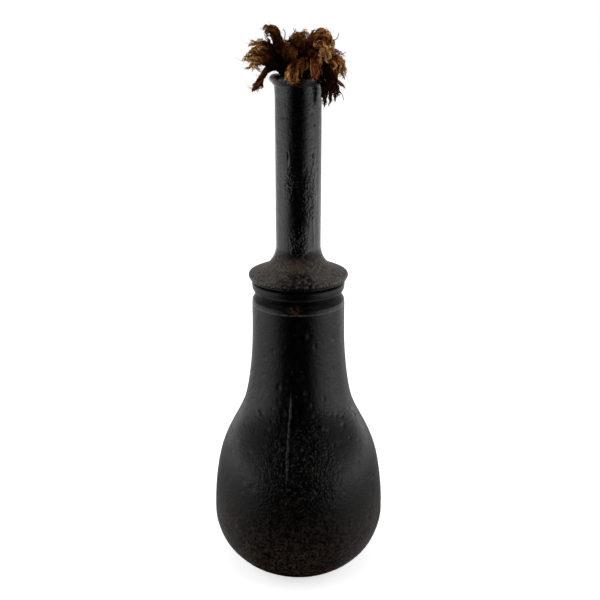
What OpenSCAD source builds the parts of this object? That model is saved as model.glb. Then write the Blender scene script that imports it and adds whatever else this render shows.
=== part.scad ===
// Railroad torch: a cast oil font, a screw-in burner with a wick tube, a washer and a wick of separate yarns.
// Millimetres, +Z up. The origin is the centre of the flat foot that the torch stands on.

/* [Font] */
// Diameter of the flat foot
foot_d = 44; // [36:0.5:52]
// Diameter of the bulb at its widest
bulb_d = 76.4; // [70:0.2:84]
// Height of the widest ring of the bulb
bulb_z = 24; // [20:0.5:30]
// Diameter at the waist, where the bulb's curve turns into the neck's
waist_d = 48; // [44:0.5:52]
// Height of the waist
waist_z = 77; // [70:0.5:84]
// Lean of the wall at the waist, in degrees from upright
waist_lean = 20; // [14:0.5:26]
// Diameter of the straight neck
neck_d = 38.8; // [37:0.1:42]
// Height where the neck becomes straight
neck_z = 114.5; // [108:0.5:116]
// Height of the mouth's top face
mouth_z = 132; // [130:0.5:140]
// Thickness of the cast wall
wall = 4.5; // [3.5:0.1:4.8]
// Thickness of the floor under the oil
floor_t = 5; // [4:0.1:7]
// Height of the mouth bead, from the bottom of the groove under it
bead_h = 5.6; // [4.5:0.1:6.5]
// Depth of the groove under the mouth bead
groove_depth = 1.6; // [0.8:0.1:1.8]
// Distance of the turned line on the neck below the groove
line_drop = 4.6; // [4.2:0.1:5.5]

/* [Thread] */
// Major diameter of the burner's thread
thread_d = 27; // [25:0.2:27.6]
// Depth of the thread
thread_depth = 1.3; // [0.9:0.1:1.5]
// Pitch of the thread
thread_pitch = 3.2; // [3:0.1:4]
// Clearance between the two threads
thread_gap = 0.3; // [0.2:0.05:0.4]
// Length of the burner's threaded boss
boss_len = 14; // [11:0.5:16]

/* [Burner] */
// Height of the flange, from its underside to its widest edge's top
flange_h = 2.9; // [2.2:0.1:4]
// Diameter of the flange
flange_d = 42.2; // [41:0.2:46]
// Height of the dome and fillet that join the flange to the tube
dome_h = 10.9; // [9:0.1:14]
// Outer diameter of the wick tube
tube_d = 18.7; // [18:0.1:20]
// Bore of the wick tube
bore_d = 15; // [14:0.1:15.8]
// Height of the tube above the flange's underside
tube_h = 84.2; // [70:0.2:95]
// Diameter of the rolled lip
lip_d = 23; // [22:0.1:25]
// Height of the rolled lip
lip_h = 4.2; // [3.4:0.1:5.5]

/* [Washer] */
// Thickness of the washer
washer_t = 0.8; // [0.5:0.1:1.5]
// How far the washer's edge sits in from the mouth bead
washer_inset = 0.4; // [0.2:0.1:1]
// Clearance between the washer and the burner's thread
washer_gap = 0.3; // [0.2:0.05:0.6]

/* [Wick] */
// Clearance between the wick and the bore
wick_gap = 0.4; // [0.3:0.05:0.7]
// Clearance between neighbouring yarns
yarn_gap = 0.08; // [0.05:0.01:0.15]
// Height of the wick's tail above the oil chamber's floor
tail_lift = 6; // [2:1:30]
// How thick the yarns are at their frayed ends, as a share of the sizes in the list of yarns
fray = 1; // [0.75:0.05:1.05]

/* [Hidden] */
// Facets of the turned surfaces
$fn = 96;
// Room that lets one solid reach into or past another before they are joined or cut
EPS = 0.3;

// How far the handles of the font's curves reach, as shares of each stretch's height, and how steeply the
// curve leaves the foot, in degrees
FOOT_REACH = 0.33;
BULB_REACH_DOWN = 0.44;
BULB_REACH_UP = 0.64;
WAIST_REACH_DOWN = 0.25;
WAIST_REACH_UP = 0.21;
NECK_REACH = 0.37;
FOOT_LIFT = 18;
CURVE_STEPS = 12;

// The mouth's turned line, shoulder and bead
LINE_SIZE = 0.25;
SHOULDER_R = 1;
SHOULDER_DROP = 2.4;
BEAD_R = 0.6;
BEAD_TAPER = 0.64;
BEAD_TAPER_H = 1.9;
MOUTH_CHAMFER = 1.3;

// The thread's ridge: its flat crest, the height left plain under it, and segments of one turn
CREST_W = 0.5;
THREAD_RELIEF = 0.5;
THREAD_SEGS = 36;
THREAD_FADE = 9;

// The burner's rounded edges, and where the handles of its fillet lie, as shares of its radius and height
FLANGE_EDGE = 0.8;
DOME_START = [2.4, 0.3];
DOME_REACH_IN = [0.66, 0.17];
DOME_REACH_UP = [0.06, 0.34];
LIP_ROUND = 0.35;
LIP_SWELL = 0.25;
LIP_UNDERCUT = -35;
LIP_CHAMFER = 1;
LIP_CHAMFER_W = 1.3;

groove_z = mouth_z - bead_h;
flange_z = mouth_z + washer_t;
boss_z = flange_z - boss_len;
lip_z = flange_z + tube_h;

male_r = thread_d / 2;
male_core_r = male_r - thread_depth;
female_r = male_r + thread_gap;
female_core_r = male_core_r + thread_gap;
male_root_w = ridge_w(thread_depth + EPS);
thread_z = boss_z + male_root_w / 2;
thread_turns = (boss_len - male_root_w) / thread_pitch;
thread_end_z = boss_z + THREAD_RELIEF;
chamber_neck_r = neck_d / 2 - wall;

// The yarns fill the bore as one, six and twelve
bundle_r = bore_d / 2 - wick_gap;
OUTER_YARNS = 12;
outer_half_angle = 180 / OUTER_YARNS;
yarn_r = (bundle_r * 2 * sin(outer_half_angle) - yarn_gap) / (2 + 2 * sin(outer_half_angle));
outer_ring_r = bundle_r - yarn_r;
inner_ring_r = 2 * yarn_r + yarn_gap;
tail_z = floor_t + tail_lift;
YARN_SIDES = 8;
YARN_STEPS = 4;
// How far a yarn goes straight up around the lip, in its radii, where along the tuft it begins and ends its
// swelling, and the size of its blunt tip
SET_OUT = 1.5;
SWELL_FROM = 0.2;
SWELL_TO = 0.65;
TIP_SIZE = 0.75;

// Each yarn's ring radius and compass angle in the bore, the radius of its frayed end, and the points that
// pull its route in the tuft: x, y and height above the lip, chosen by eye.
YARNS = [
    [0, 0, 1.9, [[0.3, 0.1, 5], [1, 0.2, 10.5], [2.2, 0, 15.4]]],
    [inner_ring_r, 0, 1.8, [[4.4, -0.4, 5], [6.4, -1.4, 9], [8, -2.4, 12.2],
        [10.2, -3.6, 13.6], [12.4, -4.4, 12], [12.8, -5, 8.8]]],
    [inner_ring_r, 60, 1.9, [[2.6, 3.2, 5], [4.4, 4, 11], [6, 4.4, 16.4]]],
    [inner_ring_r, 120, 1.9, [[-1.8, 3.2, 5], [-1.4, 3.8, 11], [-0.2, 4, 16.6]]],
    [inner_ring_r, 180, 1.6, [[-4.4, 0.2, 4], [-7, 0.4, 9.5], [-8.2, 0.5, 13.8],
        [-8.8, 0.5, 16.8], [-10.6, 0.4, 18.6], [-13, 0.1, 17.8]]],
    [inner_ring_r, 240, 1.5, [[-3, -3.8, 3.8], [-5.2, -5.8, 6.6], [-5.2, -8.4, 10.6],
        [-2, -10.6, 10], [-1.6, -11.4, 7.8]]],
    [inner_ring_r, 300, 2, [[2.4, -3.8, 4.8], [4, -7, 8.6], [6, -10.6, 8.6],
        [6.4, -13.4, 4], [6.4, -13.4, -1]]],
    [outer_ring_r, 15, 2.1, [[7.6, 2.2, 3.6], [11, 3.2, 6.4], [15, 3.6, 7], [17, 3.6, 3.4]]],
    [outer_ring_r, 45, 1.8, [[5.4, 5.8, 5], [6.8, 7.4, 11], [7.8, 8, 14.6],
        [9.8, 8.6, 16.4], [12.2, 9, 15.2], [13.2, 9, 12]]],
    [outer_ring_r, 75, 2, [[2, 8, 4.5], [2.6, 11.4, 8.4], [3.4, 15.4, 7.4], [4, 16.6, 3]]],
    [outer_ring_r, 105, 2, [[-2, 8, 4.5], [-2.8, 11.4, 8.4], [-3.4, 14.6, 9.6]]],
    [outer_ring_r, 135, 2, [[-5.4, 6.8, 3.6], [-8, 10.4, 6.6], [-10.6, 13.4, 5.6], [-11.6, 15, 2]]],
    [outer_ring_r, 165, 2.2, [[-7.4, 2.6, 4], [-11.2, 4.2, 8.4], [-14.8, 5, 12], [-18.6, 5.2, 10.4]]],
    [outer_ring_r, 195, 2.1, [[-8.4, -1.8, 2.8], [-12.6, -2.2, 5.6],
        [-16.6, -2.6, 6.6], [-20.4, -2.8, 4.6]]],
    [outer_ring_r, 225, 1.9, [[-6.4, -5.6, 2.6], [-9.6, -7, 4.6], [-12.6, -7.8, 2.2],
        [-14, -8.2, -1], [-17.8, -8.6, -5.4]]],
    [outer_ring_r, 255, 2, [[-1.8, -8, 3.2], [-2.2, -11.6, 4.6], [-2.8, -14.4, 2],
        [-2.8, -14.6, -1], [-2.8, -14.2, -3.4]]],
    [outer_ring_r, 285, 1.8, [[1.8, -7.6, 3.2], [2.2, -10.6, 5], [1.8, -13.4, 4]]],
    [outer_ring_r, 315, 1.8, [[6.4, -6.2, 2.6], [10, -9, 4.4], [13, -10, 0],
        [13.4, -10, -4.2], [16, -10, -7.4]]],
    [outer_ring_r, 345, 2.1, [[8.2, -2, 2.6], [12, -3, 4.6], [16, -3.4, 3.2], [16.6, -3.4, -0.8]]],
];

// A cubic curve through p[0] and p[3] with handles p[1] and p[2], and its direction
function curve_at(p, t) =
    pow(1 - t, 3) * p[0] + 3 * pow(1 - t, 2) * t * p[1] + 3 * (1 - t) * t * t * p[2] + pow(t, 3) * p[3];
function curve_dir(p, t) =
    pow(1 - t, 2) * (p[1] - p[0]) + 2 * (1 - t) * t * (p[2] - p[1]) + t * t * (p[3] - p[2]);

// Points along a curve, each moved inwards, towards the axis, by inset
function curve_points(p, inset) = [
    for (i = [0:CURVE_STEPS])
        let (t = i / CURVE_STEPS, d = curve_dir(p, t))
        curve_at(p, t) + inset * [-d[1], d[0]] / norm(d)
];

// An arc of points about a centre, between two angles
function arc_points(centre, r, from, to, steps) = [
    for (i = [0:steps])
        let (a = from + (to - from) * i / steps)
        centre + r * [cos(a), sin(a)]
];

function font_curves() =
    let (
        foot = [foot_d / 2, 0],
        bulb = [bulb_d / 2, bulb_z],
        waist = [waist_d / 2, waist_z],
        neck = [neck_d / 2, neck_z],
        up_waist = [-sin(waist_lean), cos(waist_lean)],
        low_h = waist_z - bulb_z,
        high_h = neck_z - waist_z
    ) [
        [foot, foot + FOOT_REACH * bulb_z * [cos(FOOT_LIFT), sin(FOOT_LIFT)],
            bulb - [0, BULB_REACH_DOWN * bulb_z], bulb],
        [bulb, bulb + [0, BULB_REACH_UP * low_h], waist - WAIST_REACH_DOWN * low_h * up_waist, waist],
        [waist, waist + WAIST_REACH_UP * high_h * up_waist, neck - [0, NECK_REACH * high_h], neck],
    ];

// The font's wall, from foot to neck, moved inwards by inset
function font_wall(inset) = [for (c = font_curves()) each curve_points(c, inset)];

// The turned mouth: line, shoulder, groove and bead
function mouth_profile() =
    let (r = neck_d / 2, line_z = groove_z - line_drop)
    concat(
        [
            [r, line_z - LINE_SIZE],
            [r - LINE_SIZE, line_z],
            [r, line_z + LINE_SIZE],
        ],
        arc_points([r - SHOULDER_R, groove_z - SHOULDER_DROP], SHOULDER_R, 0, 75, 4),
        [
            [r - groove_depth, groove_z - EPS],
            [r - groove_depth, groove_z + EPS],
            [r - groove_depth * (1 - BEAD_TAPER), groove_z + BEAD_TAPER_H],
        ],
        arc_points([r - BEAD_R, mouth_z - BEAD_R], BEAD_R, 0, 90, 3)
    );

// Width of the thread's ridge at a depth under its crest, with 60 degrees between its flanks
function ridge_w(depth) = CREST_W + 2 * depth * tan(30);

// A helical ridge of trapezoid section, from its root radius out to its crest, that fades in and out.
// It is used as the burner's thread, and with wider sizes to cut the font's.
// start_z is the height of its middle at angle 0.
module thread_ridge(root_r, crest_r, root_w, top_w, start_z, turns) {
    steps = floor(turns * THREAD_SEGS);
    sections = [
        for (i = [0:steps])
            let (
                a = 360 * i / THREAD_SEGS,
                z = start_z + thread_pitch * i / THREAD_SEGS,
                fade = min(1, (i + 0.5) / THREAD_FADE, (steps - i + 0.5) / THREAD_FADE),
                r = root_r + (crest_r - root_r) * fade,
                w = root_w + (top_w - root_w) * fade
            )
            each [
                [root_r * cos(a), root_r * sin(a), z - root_w / 2],
                [r * cos(a), r * sin(a), z - w / 2],
                [r * cos(a), r * sin(a), z + w / 2],
                [root_r * cos(a), root_r * sin(a), z + root_w / 2],
            ]
    ];
    sides = [
        for (i = [0:steps - 1], k = [0:3])
            let (a = 4 * i + k, b = 4 * i + (k + 1) % 4)
            each [[a, b, b + 4], [a, b + 4, a + 4]]
    ];
    last = 4 * steps;
    polyhedron(sections, concat(sides, [[0, 3, 2, 1], [last, last + 1, last + 2, last + 3]]));
}

module font() {
    cavity = [for (p = font_wall(wall)) if (p[1] > floor_t + EPS) p];
    color("#1d1c1e")
    difference() {
        rotate_extrude()
            polygon(concat([[0, 0]], font_wall(0), mouth_profile(), [[0, mouth_z]]));
        rotate_extrude()
            polygon(concat(
                [[0, floor_t], [cavity[0][0], floor_t]],
                cavity,
                [[chamber_neck_r, thread_end_z], [0, thread_end_z]]
            ));
        translate([0, 0, thread_end_z - EPS])
            cylinder(r = female_core_r, h = mouth_z - thread_end_z + 2 * EPS);
        translate([0, 0, mouth_z - MOUTH_CHAMFER])
            cylinder(r1 = female_core_r, r2 = female_core_r + MOUTH_CHAMFER + EPS, h = MOUTH_CHAMFER + EPS);
        thread_ridge(
            female_core_r - EPS,
            female_r,
            ridge_w(female_r - female_core_r + EPS) + thread_gap,
            CREST_W + thread_gap,
            thread_z - thread_pitch,
            thread_turns + 2
        );
    }
}

module burner() {
    tube_r = tube_d / 2;
    flange_r = flange_d / 2;
    dome_z = flange_z + flange_h;
    dome = [
        [flange_r - DOME_START[0] * FLANGE_EDGE, dome_z + DOME_START[1] * FLANGE_EDGE],
        [flange_r * DOME_REACH_IN[0], dome_z + dome_h * DOME_REACH_IN[1]],
        [tube_r + dome_h * DOME_REACH_UP[0], dome_z + dome_h * DOME_REACH_UP[1]],
        [tube_r, dome_z + dome_h],
    ];
    lip_round = lip_h * LIP_ROUND;
    color("#2b2c31")
    difference() {
        union() {
            rotate_extrude()
                polygon(concat(
                    [[0, boss_z], [male_core_r, boss_z], [male_core_r, flange_z]],
                    [[flange_r - FLANGE_EDGE, flange_z]],
                    arc_points([flange_r - FLANGE_EDGE, flange_z + 2 * FLANGE_EDGE], FLANGE_EDGE, -20, 60, 3),
                    curve_points(dome, 0),
                    [[tube_r, lip_z - 2 * lip_h], [tube_r + LIP_SWELL, lip_z - lip_h]],
                    arc_points([lip_d / 2 - lip_round, lip_z - lip_round], lip_round, LIP_UNDERCUT, 90, 5),
                    [[0, lip_z]]
                ));
            thread_ridge(
                male_core_r - EPS,
                male_r,
                male_root_w,
                CREST_W,
                thread_z,
                thread_turns
            );
        }
        translate([0, 0, boss_z - EPS])
            cylinder(d = bore_d, h = boss_len + tube_h + 2 * EPS);
        translate([0, 0, lip_z - LIP_CHAMFER])
            cylinder(d1 = bore_d, d2 = bore_d + 2 * LIP_CHAMFER_W, h = LIP_CHAMFER + EPS);
    }
}

module washer() {
    color("#3b2a1d")
    translate([0, 0, mouth_z])
    difference() {
        cylinder(r = neck_d / 2 - washer_inset, h = washer_t);
        translate([0, 0, -EPS])
            cylinder(r = male_r + washer_gap, h = washer_t + 2 * EPS);
    }
}

// A stretch of a smooth curve that four points pull, from near b to near c
function pull(a, b, c, d, t) =
    (pow(1 - t, 3) * a + (3 * t * t * t - 6 * t * t + 4) * b
        + (-3 * t * t * t + 3 * t * t + 3 * t + 1) * c + t * t * t * d) / 6;

// Points along a route that starts at its second point and ends at its last
function smooth_route(p) =
    let (last = len(p) - 1, q = concat(p, [2 * p[last] - p[last - 1]]))
    [
        for (i = [1:last - 1], k = [0:YARN_STEPS - 1])
            pull(q[i - 1], q[i], q[i + 1], q[i + 2], k / YARN_STEPS),
        p[last],
    ];

// Carries a side direction along the route, so that the tube doesn't twist
function carry(dirs, side, i) =
    i == len(dirs) ? [] :
    let (flat = side - (side * dirs[i]) * dirs[i], s = flat / norm(flat))
    concat([s], carry(dirs, s, i + 1));

// A yarn's whole route: its tail, its straight way up the bore and its stretch in the tuft
function yarn_route(y) =
    let (
        place = y[0] * [cos(y[1]), sin(y[1]), 0],
        set_out = [0, 0, SET_OUT * yarn_r],
        exit = place + [0, 0, lip_z - yarn_r],
        tuft = [for (p = y[3]) p + [0, 0, lip_z]]
    )
    concat([place + [0, 0, tail_z]], smooth_route(concat([exit - set_out, exit, exit + set_out], tuft)));

// A yarn's radius at a share t of its stretch in the tuft: it swells to its frayed end
function yarn_size(end_r, t) =
    let (u = max(0, min(1, (t - SWELL_FROM) / (SWELL_TO - SWELL_FROM))))
    yarn_r + (end_r * fray - yarn_r) * u * u * (3 - 2 * u);

module wick_yarn(y) {
    route = yarn_route(y);
    n = len(route);
    dirs = [
        for (i = [0:n - 1])
            let (d = route[min(i + 1, n - 1)] - route[max(i - 1, 0)])
            d / norm(d)
    ];
    sides = carry(dirs, [cos(y[1]), sin(y[1]), 0], 0);
    points = [
        for (i = [0:n - 1], k = [0:YARN_SIDES - 1])
            let (
                r = yarn_size(y[2], (i - 1) / (n - 2)) * (i == n - 1 ? TIP_SIZE : 1),
                a = 360 * k / YARN_SIDES,
                up = cross(dirs[i], sides[i])
            )
            route[i] + r * (cos(a) * sides[i] + sin(a) * up)
    ];
    skin = [
        for (i = [0:n - 2], k = [0:YARN_SIDES - 1])
            let (a = i * YARN_SIDES + k, b = i * YARN_SIDES + (k + 1) % YARN_SIDES)
            each [[a, a + YARN_SIDES, b + YARN_SIDES], [a, b + YARN_SIDES, b]]
    ];
    first = [for (k = [1:YARN_SIDES - 2]) [0, k, k + 1]];
    base = (n - 1) * YARN_SIDES;
    last = [for (k = [1:YARN_SIDES - 2]) [base, base + k + 1, base + k]];
    color("#7a4a28")
    polyhedron(points, concat(skin, first, last));
}

font();
burner();
washer();
for (i = [1:len(YARNS)]) {
    wick_yarn(YARNS[i - 1]);
}
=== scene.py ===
"""A railroad torch: a cast iron oil font, a screw-in burner with its wick tube, a leather washer and a wick.

Lengths are millimetres until a mesh is made, where MM turns them into metres, but metres in the studio at the
end. Azimuths are degrees from the front, -Y, positive towards +X.
"""

import math
import random

import bmesh
import bpy
import numpy as np
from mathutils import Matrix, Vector, noise


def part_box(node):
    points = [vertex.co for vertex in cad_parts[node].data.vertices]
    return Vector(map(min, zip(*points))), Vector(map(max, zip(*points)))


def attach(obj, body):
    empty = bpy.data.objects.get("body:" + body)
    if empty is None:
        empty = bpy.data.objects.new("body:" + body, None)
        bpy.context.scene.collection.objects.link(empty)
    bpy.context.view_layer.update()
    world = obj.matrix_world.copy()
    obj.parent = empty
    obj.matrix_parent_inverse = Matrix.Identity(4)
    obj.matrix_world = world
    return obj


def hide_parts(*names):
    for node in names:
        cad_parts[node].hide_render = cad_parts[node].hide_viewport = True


MM = 0.001
SEED = 7

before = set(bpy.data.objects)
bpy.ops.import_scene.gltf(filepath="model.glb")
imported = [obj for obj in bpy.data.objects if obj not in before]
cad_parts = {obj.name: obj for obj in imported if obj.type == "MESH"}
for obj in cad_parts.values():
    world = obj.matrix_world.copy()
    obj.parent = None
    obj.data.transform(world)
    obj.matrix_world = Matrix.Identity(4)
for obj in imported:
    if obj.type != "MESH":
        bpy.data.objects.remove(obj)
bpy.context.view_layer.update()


# Sizes of the turned pieces, as in the CAD, from the frame where a box gives them

_, font_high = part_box("font")
burner_low, burner_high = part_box("burner")
_, washer_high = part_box("washer")

MOUTH_Z = font_high.z / MM
BULB_R = font_high.x / MM
FLANGE_Z = washer_high.z / MM
BOSS_Z = burner_low.z / MM
LIP_Z = burner_high.z / MM
FLANGE_R = burner_high.x / MM
WASHER_R = washer_high.x / MM

FOOT_R = 22
BULB_Z = 24
WAIST_R = 24
WAIST_Z = 77
WAIST_LEAN = math.radians(20)
NECK_R = 19.4
NECK_Z = 114.5
WALL = 4.5
FLOOR_T = 5
BEAD_H = 5.6
BEAD_R = 1.1
GROOVE_Z = MOUTH_Z - BEAD_H
# After the photograph, the neck stands this much further out than the CAD's, the groove is deeper than the
# CAD's, and the turned line under the shoulder higher
NECK_MORE = 0.35
GROOVE_DEPTH = 2.1
LINE_Z = GROOVE_Z - 4.1

FLANGE_H = 2.9
DOME_H = 10.9
TUBE_R = 9.35
BORE_R = 7.5
LIP_R = 11.5
LIP_H = 4.2
LIP_ROUND = 0.35 * LIP_H
RIM_ROUND = 1.2

THREAD_R = 13.5
THREAD_DEPTH = 1.3
THREAD_PITCH = 3.2
THREAD_GAP = 0.3
THREAD_CREST = 0.5
CORE_R = THREAD_R - THREAD_DEPTH
# How far a ridge reaches into the solid that it is joined to or cut from
REACH = 0.3

# How far the cast skin lies inside the CAD's where the body is widest, so that its bumps stay in the CAD's
# box, and how far it lies outside elsewhere
SKIN = 0.14
PAINT = 0.07


# The camera that fits the photograph: its place, how far it looks down, its lens and the width of its film.
# PHOTO_W is the photograph's width in pixels.
CAMERA = np.array([0.7, -356.6, 236.7])
LOOK_DOWN = math.radians(17.7)
LENS = 52.2
FILM_W = 36
PHOTO_W = 600


# Curves and outlines, as lists of (radius, height)


def cubic(p, steps=24):
    """Points of the cubic curve with ends p[0], p[3] and handles p[1], p[2]."""
    p = [np.array(q, float) for q in p]
    return [
        (1 - t) ** 3 * p[0] + 3 * (1 - t) ** 2 * t * p[1] + 3 * (1 - t) * t * t * p[2] + t**3 * p[3]
        for t in np.linspace(0, 1, steps + 1)
    ]


def arc(centre, radius, start, end, steps=6):
    """Points of an arc between two angles in degrees."""
    return [
        np.array(centre) + radius * np.array([math.cos(a), math.sin(a)])
        for a in np.radians(np.linspace(start, end, steps + 1))
    ]


def offset(points, distance):
    """The polyline moved to its left, towards the axis for one that climbs."""
    p = np.array(points)
    d = np.gradient(p, axis=0)
    d /= np.linalg.norm(d, axis=1)[:, None]
    return list(p + distance * np.stack([-d[:, 1], d[:, 0]], 1))


def refine(points, step):
    """The polyline with more points, so that none of its stretches is longer than step."""
    out = [points[0]]
    for a, b in zip(points, points[1:]):
        a, b = np.array(a, float), np.array(b, float)
        n = max(1, math.ceil(np.linalg.norm(b - a) / step))
        out += [a + (b - a) * i / n for i in range(1, n + 1)]
    return out


def font_wall():
    """The font's outer curve, from the foot over the bulb and waist to the neck."""
    up_waist = np.array([-math.sin(WAIST_LEAN), math.cos(WAIST_LEAN)])
    foot, bulb = np.array([FOOT_R, 0.0]), np.array([BULB_R, BULB_Z])
    waist, neck = np.array([WAIST_R, WAIST_Z]), np.array([NECK_R + NECK_MORE, NECK_Z])
    low_h, high_h = WAIST_Z - BULB_Z, NECK_Z - WAIST_Z
    lift = math.radians(18)
    leave_foot = 0.33 * BULB_Z * np.array([math.cos(lift), math.sin(lift)])
    return (
        cubic([foot, foot + leave_foot, bulb - [0, 0.44 * BULB_Z], bulb])
        + cubic([bulb, bulb + [0, 0.64 * low_h], waist - 0.25 * low_h * up_waist, waist])[1:]
        + cubic([waist, waist + 0.21 * high_h * up_waist, neck - [0, 0.37 * high_h], neck])[1:]
    )


def mouth():
    """The turned mouth: its line, shoulder, groove and bead."""
    r = NECK_R + NECK_MORE
    line = [(0, -0.5), (0.03, -0.15), (-0.02, 0.15), (-0.1, 0.5)]
    shoulder = [(-0.1, -2.7), (-0.25, -2.1), (-0.75, -1.35), (-1.4, -0.6)]
    groove = [(-GROOVE_DEPTH, 0.1), (-GROOVE_DEPTH, 0.25), (-1.15, 1.0), (-0.6, 1.9), (-0.2, 2.8)]
    return (
        [(r + out, LINE_Z + up) for out, up in line]
        + [(r + out, GROOVE_Z + up) for out, up in shoulder + groove]
        + arc((r - BEAD_R, MOUTH_Z - BEAD_R), BEAD_R, 0, 90)
    )


# Cast surfaces


def at_azimuth(azimuth, height, radius):
    """A point on a turned surface."""
    a = math.radians(azimuth)
    return np.array([radius * math.sin(a), -radius * math.cos(a), height])


def waves(points, size, octaves=1, shift=0.0):
    """Smooth noise of about -1 to 1 at each point, its waves about size across."""
    return np.array([noise.fractal(Vector(p / size + shift), 1.0, 2.0, octaves) for p in points])


def blob(points, centre, size, tall=1.0):
    """1 at the centre, falling smoothly to 0 at size from it, or at size times tall above and below."""
    d = points - centre
    d[:, 2] /= tall
    return np.clip(1 - (d**2).sum(1) / size**2, 0, 1) ** 2


def ramp(values, low, high):
    """0 below low, 1 above high, and smooth between."""
    t = np.clip((values - low) / (high - low), 0, 1)
    return t * t * (3 - 2 * t)


def rings(rows, count, first=0, closed=False):
    """Four-sided faces between rows of points, count in a row, from the point numbered first."""
    faces = []
    for i in range(rows if closed else rows - 1):
        a, b = first + i * count, first + (i + 1) % rows * count
        faces += [(a + k, a + (k + 1) % count, b + (k + 1) % count, b + k) for k in range(count)]
    return faces


def new_object(name, points, faces, marks=None):
    """A mesh object of points in millimetres, smooth, with a number at each point for each mark."""
    mesh = bpy.data.meshes.new(name)
    mesh.from_pydata((np.asarray(points) * MM).tolist(), [], faces)
    for mark, values in (marks or {}).items():
        attribute = mesh.attributes.new(mark, "FLOAT", "POINT")
        attribute.data.foreach_set("value", np.asarray(values, np.float32))
    mesh.shade_smooth()
    obj = bpy.data.objects.new(name, mesh)
    bpy.context.scene.collection.objects.link(obj)
    return obj


def lathe(name, outline, azimuths, closed, skin):
    """A turned mesh. skin gets each point, its radius and height, and gives its shift inwards and its marks.

    An open outline starts and ends on the axis.
    """
    segments = len(azimuths)
    rows = np.array(outline, float)
    line = np.vstack([rows[-1:], rows, rows[:1]]) if closed else rows
    d = np.gradient(line, axis=0)
    d = d[1:-1] if closed else d
    d /= np.maximum(np.linalg.norm(d, axis=1), 1e-9)[:, None]
    turn = np.radians(azimuths)
    around = np.stack([np.sin(turn), -np.cos(turn)], 1)

    def spin(radii, heights):
        flat = radii[:, None, None] * around[None]
        return np.dstack([flat, np.repeat(heights[:, None], segments, 1)]).reshape(-1, 3)

    points = spin(rows[:, 0], rows[:, 1])
    shift, marks = skin(points, np.repeat(rows[:, 0], segments), np.repeat(rows[:, 1], segments))
    points += shift[:, None] * spin(-d[:, 1], d[:, 0])
    obj = new_object(name, points, rings(len(rows), segments, closed=closed), marks)
    if not closed:
        weld_poles(obj, segments)
    return obj


def even_azimuths(segments):
    """The azimuths of columns that stand evenly round the axis."""
    return np.arange(segments) * 360 / segments


def weld_poles(obj, segments):
    """Joins the points of the first and last row, which lie on the axis."""
    work = bmesh.new()
    work.from_mesh(obj.data)
    work.verts.ensure_lookup_table()
    poles = work.verts[:segments] + work.verts[-segments:]
    bmesh.ops.remove_doubles(work, verts=poles, dist=0.001 * MM)
    work.to_mesh(obj.data)
    work.free()


def thread_ridge(name, root_r, crest_r, root_w, crest_w, start_z, turns):
    """A helical ridge of trapezoid section that fades in and out, as the CAD has it."""
    per_turn = 72
    steps = int(turns * per_turn)
    points, faces = [], []
    for i in range(steps + 1):
        a = 2 * math.pi * i / per_turn
        z = start_z + THREAD_PITCH * i / per_turn
        fade = min(1, (i + 0.5) / (per_turn / 4), (steps - i + 0.5) / (per_turn / 4))
        r = root_r + (crest_r - root_r) * fade
        w = root_w + (crest_w - root_w) * fade
        section = [(root_r, -root_w / 2), (r, -w / 2), (r, w / 2), (root_r, root_w / 2)]
        points += [(radius * math.cos(a), radius * math.sin(a), z + up) for radius, up in section]
        if i:
            for k in range(4):
                b, c = 4 * (i - 1) + k, 4 * (i - 1) + (k + 1) % 4
                faces.append((b, c, c + 4, b + 4))
    last = 4 * steps
    faces += [(0, 3, 2, 1), (last, last + 1, last + 2, last + 3)]
    return new_object(name, points, [f[::-1] for f in faces])


def ridge_w(depth):
    """Width of the thread's ridge at a depth under its crest, with 60 degrees between its flanks."""
    return THREAD_CREST + 2 * depth * math.tan(math.radians(30))


THREAD_Z = BOSS_Z + ridge_w(THREAD_DEPTH + REACH) / 2
THREAD_TURNS = (FLANGE_Z - BOSS_Z - ridge_w(THREAD_DEPTH + REACH)) / THREAD_PITCH


def combine(obj, tool, operation):
    """Joins the tool to the object or cuts it out, and removes the tool."""
    cut = obj.modifiers.new("thread", "BOOLEAN")
    cut.object, cut.operation, cut.solver = tool, operation, "MANIFOLD"
    result = bpy.data.meshes.new_from_object(obj.evaluated_get(bpy.context.evaluated_depsgraph_get()))
    obj.modifiers.clear()
    result.name = obj.data.name
    obj.data = result
    bpy.data.objects.remove(tool)


def sharpen(obj, degrees):
    """Shades the mesh smooth, apart from edges that turn by more than that."""
    obj.data.shade_smooth()
    obj.data.set_sharp_from_angle(angle=math.radians(degrees))


# The font

# How many columns of points the font has in all its round, and how many more across each seam of its mould
FONT_COLUMNS = 276
SEAM_COLUMNS = 26
MOUTH_CHAMFER = 1.3
CHAMBER_FLOOR_R = 25
FONT_OUTER = refine(font_wall() + mouth(), 0.8)
FONT_INNER = refine(
    [(NECK_R - 3, MOUTH_Z), (CORE_R + THREAD_GAP + MOUTH_CHAMFER, MOUTH_Z)]
    + [(CORE_R + THREAD_GAP, MOUTH_Z - MOUTH_CHAMFER)]
    + [(CORE_R + THREAD_GAP, BOSS_Z + 0.5), (NECK_R - WALL, BOSS_Z + 0.5)]
    + [p for p in offset(font_wall(), WALL)[::-3] if FLOOR_T + REACH < p[1] < BOSS_Z]
    + [(CHAMBER_FLOOR_R, FLOOR_T)],
    3,
)
FONT_BOTTOM = [(r, 0.0) for r in range(0, 21, 4)]

# Raised lines that the two halves of the mould left: azimuth, bottom and top
FONT_SEAMS = [(-8.5, 50, 92), (171.5, 30, 108)]
# How wide a seam is, and how far it stands out
SEAM_W = 0.34
SEAM_H = 0.4
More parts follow.
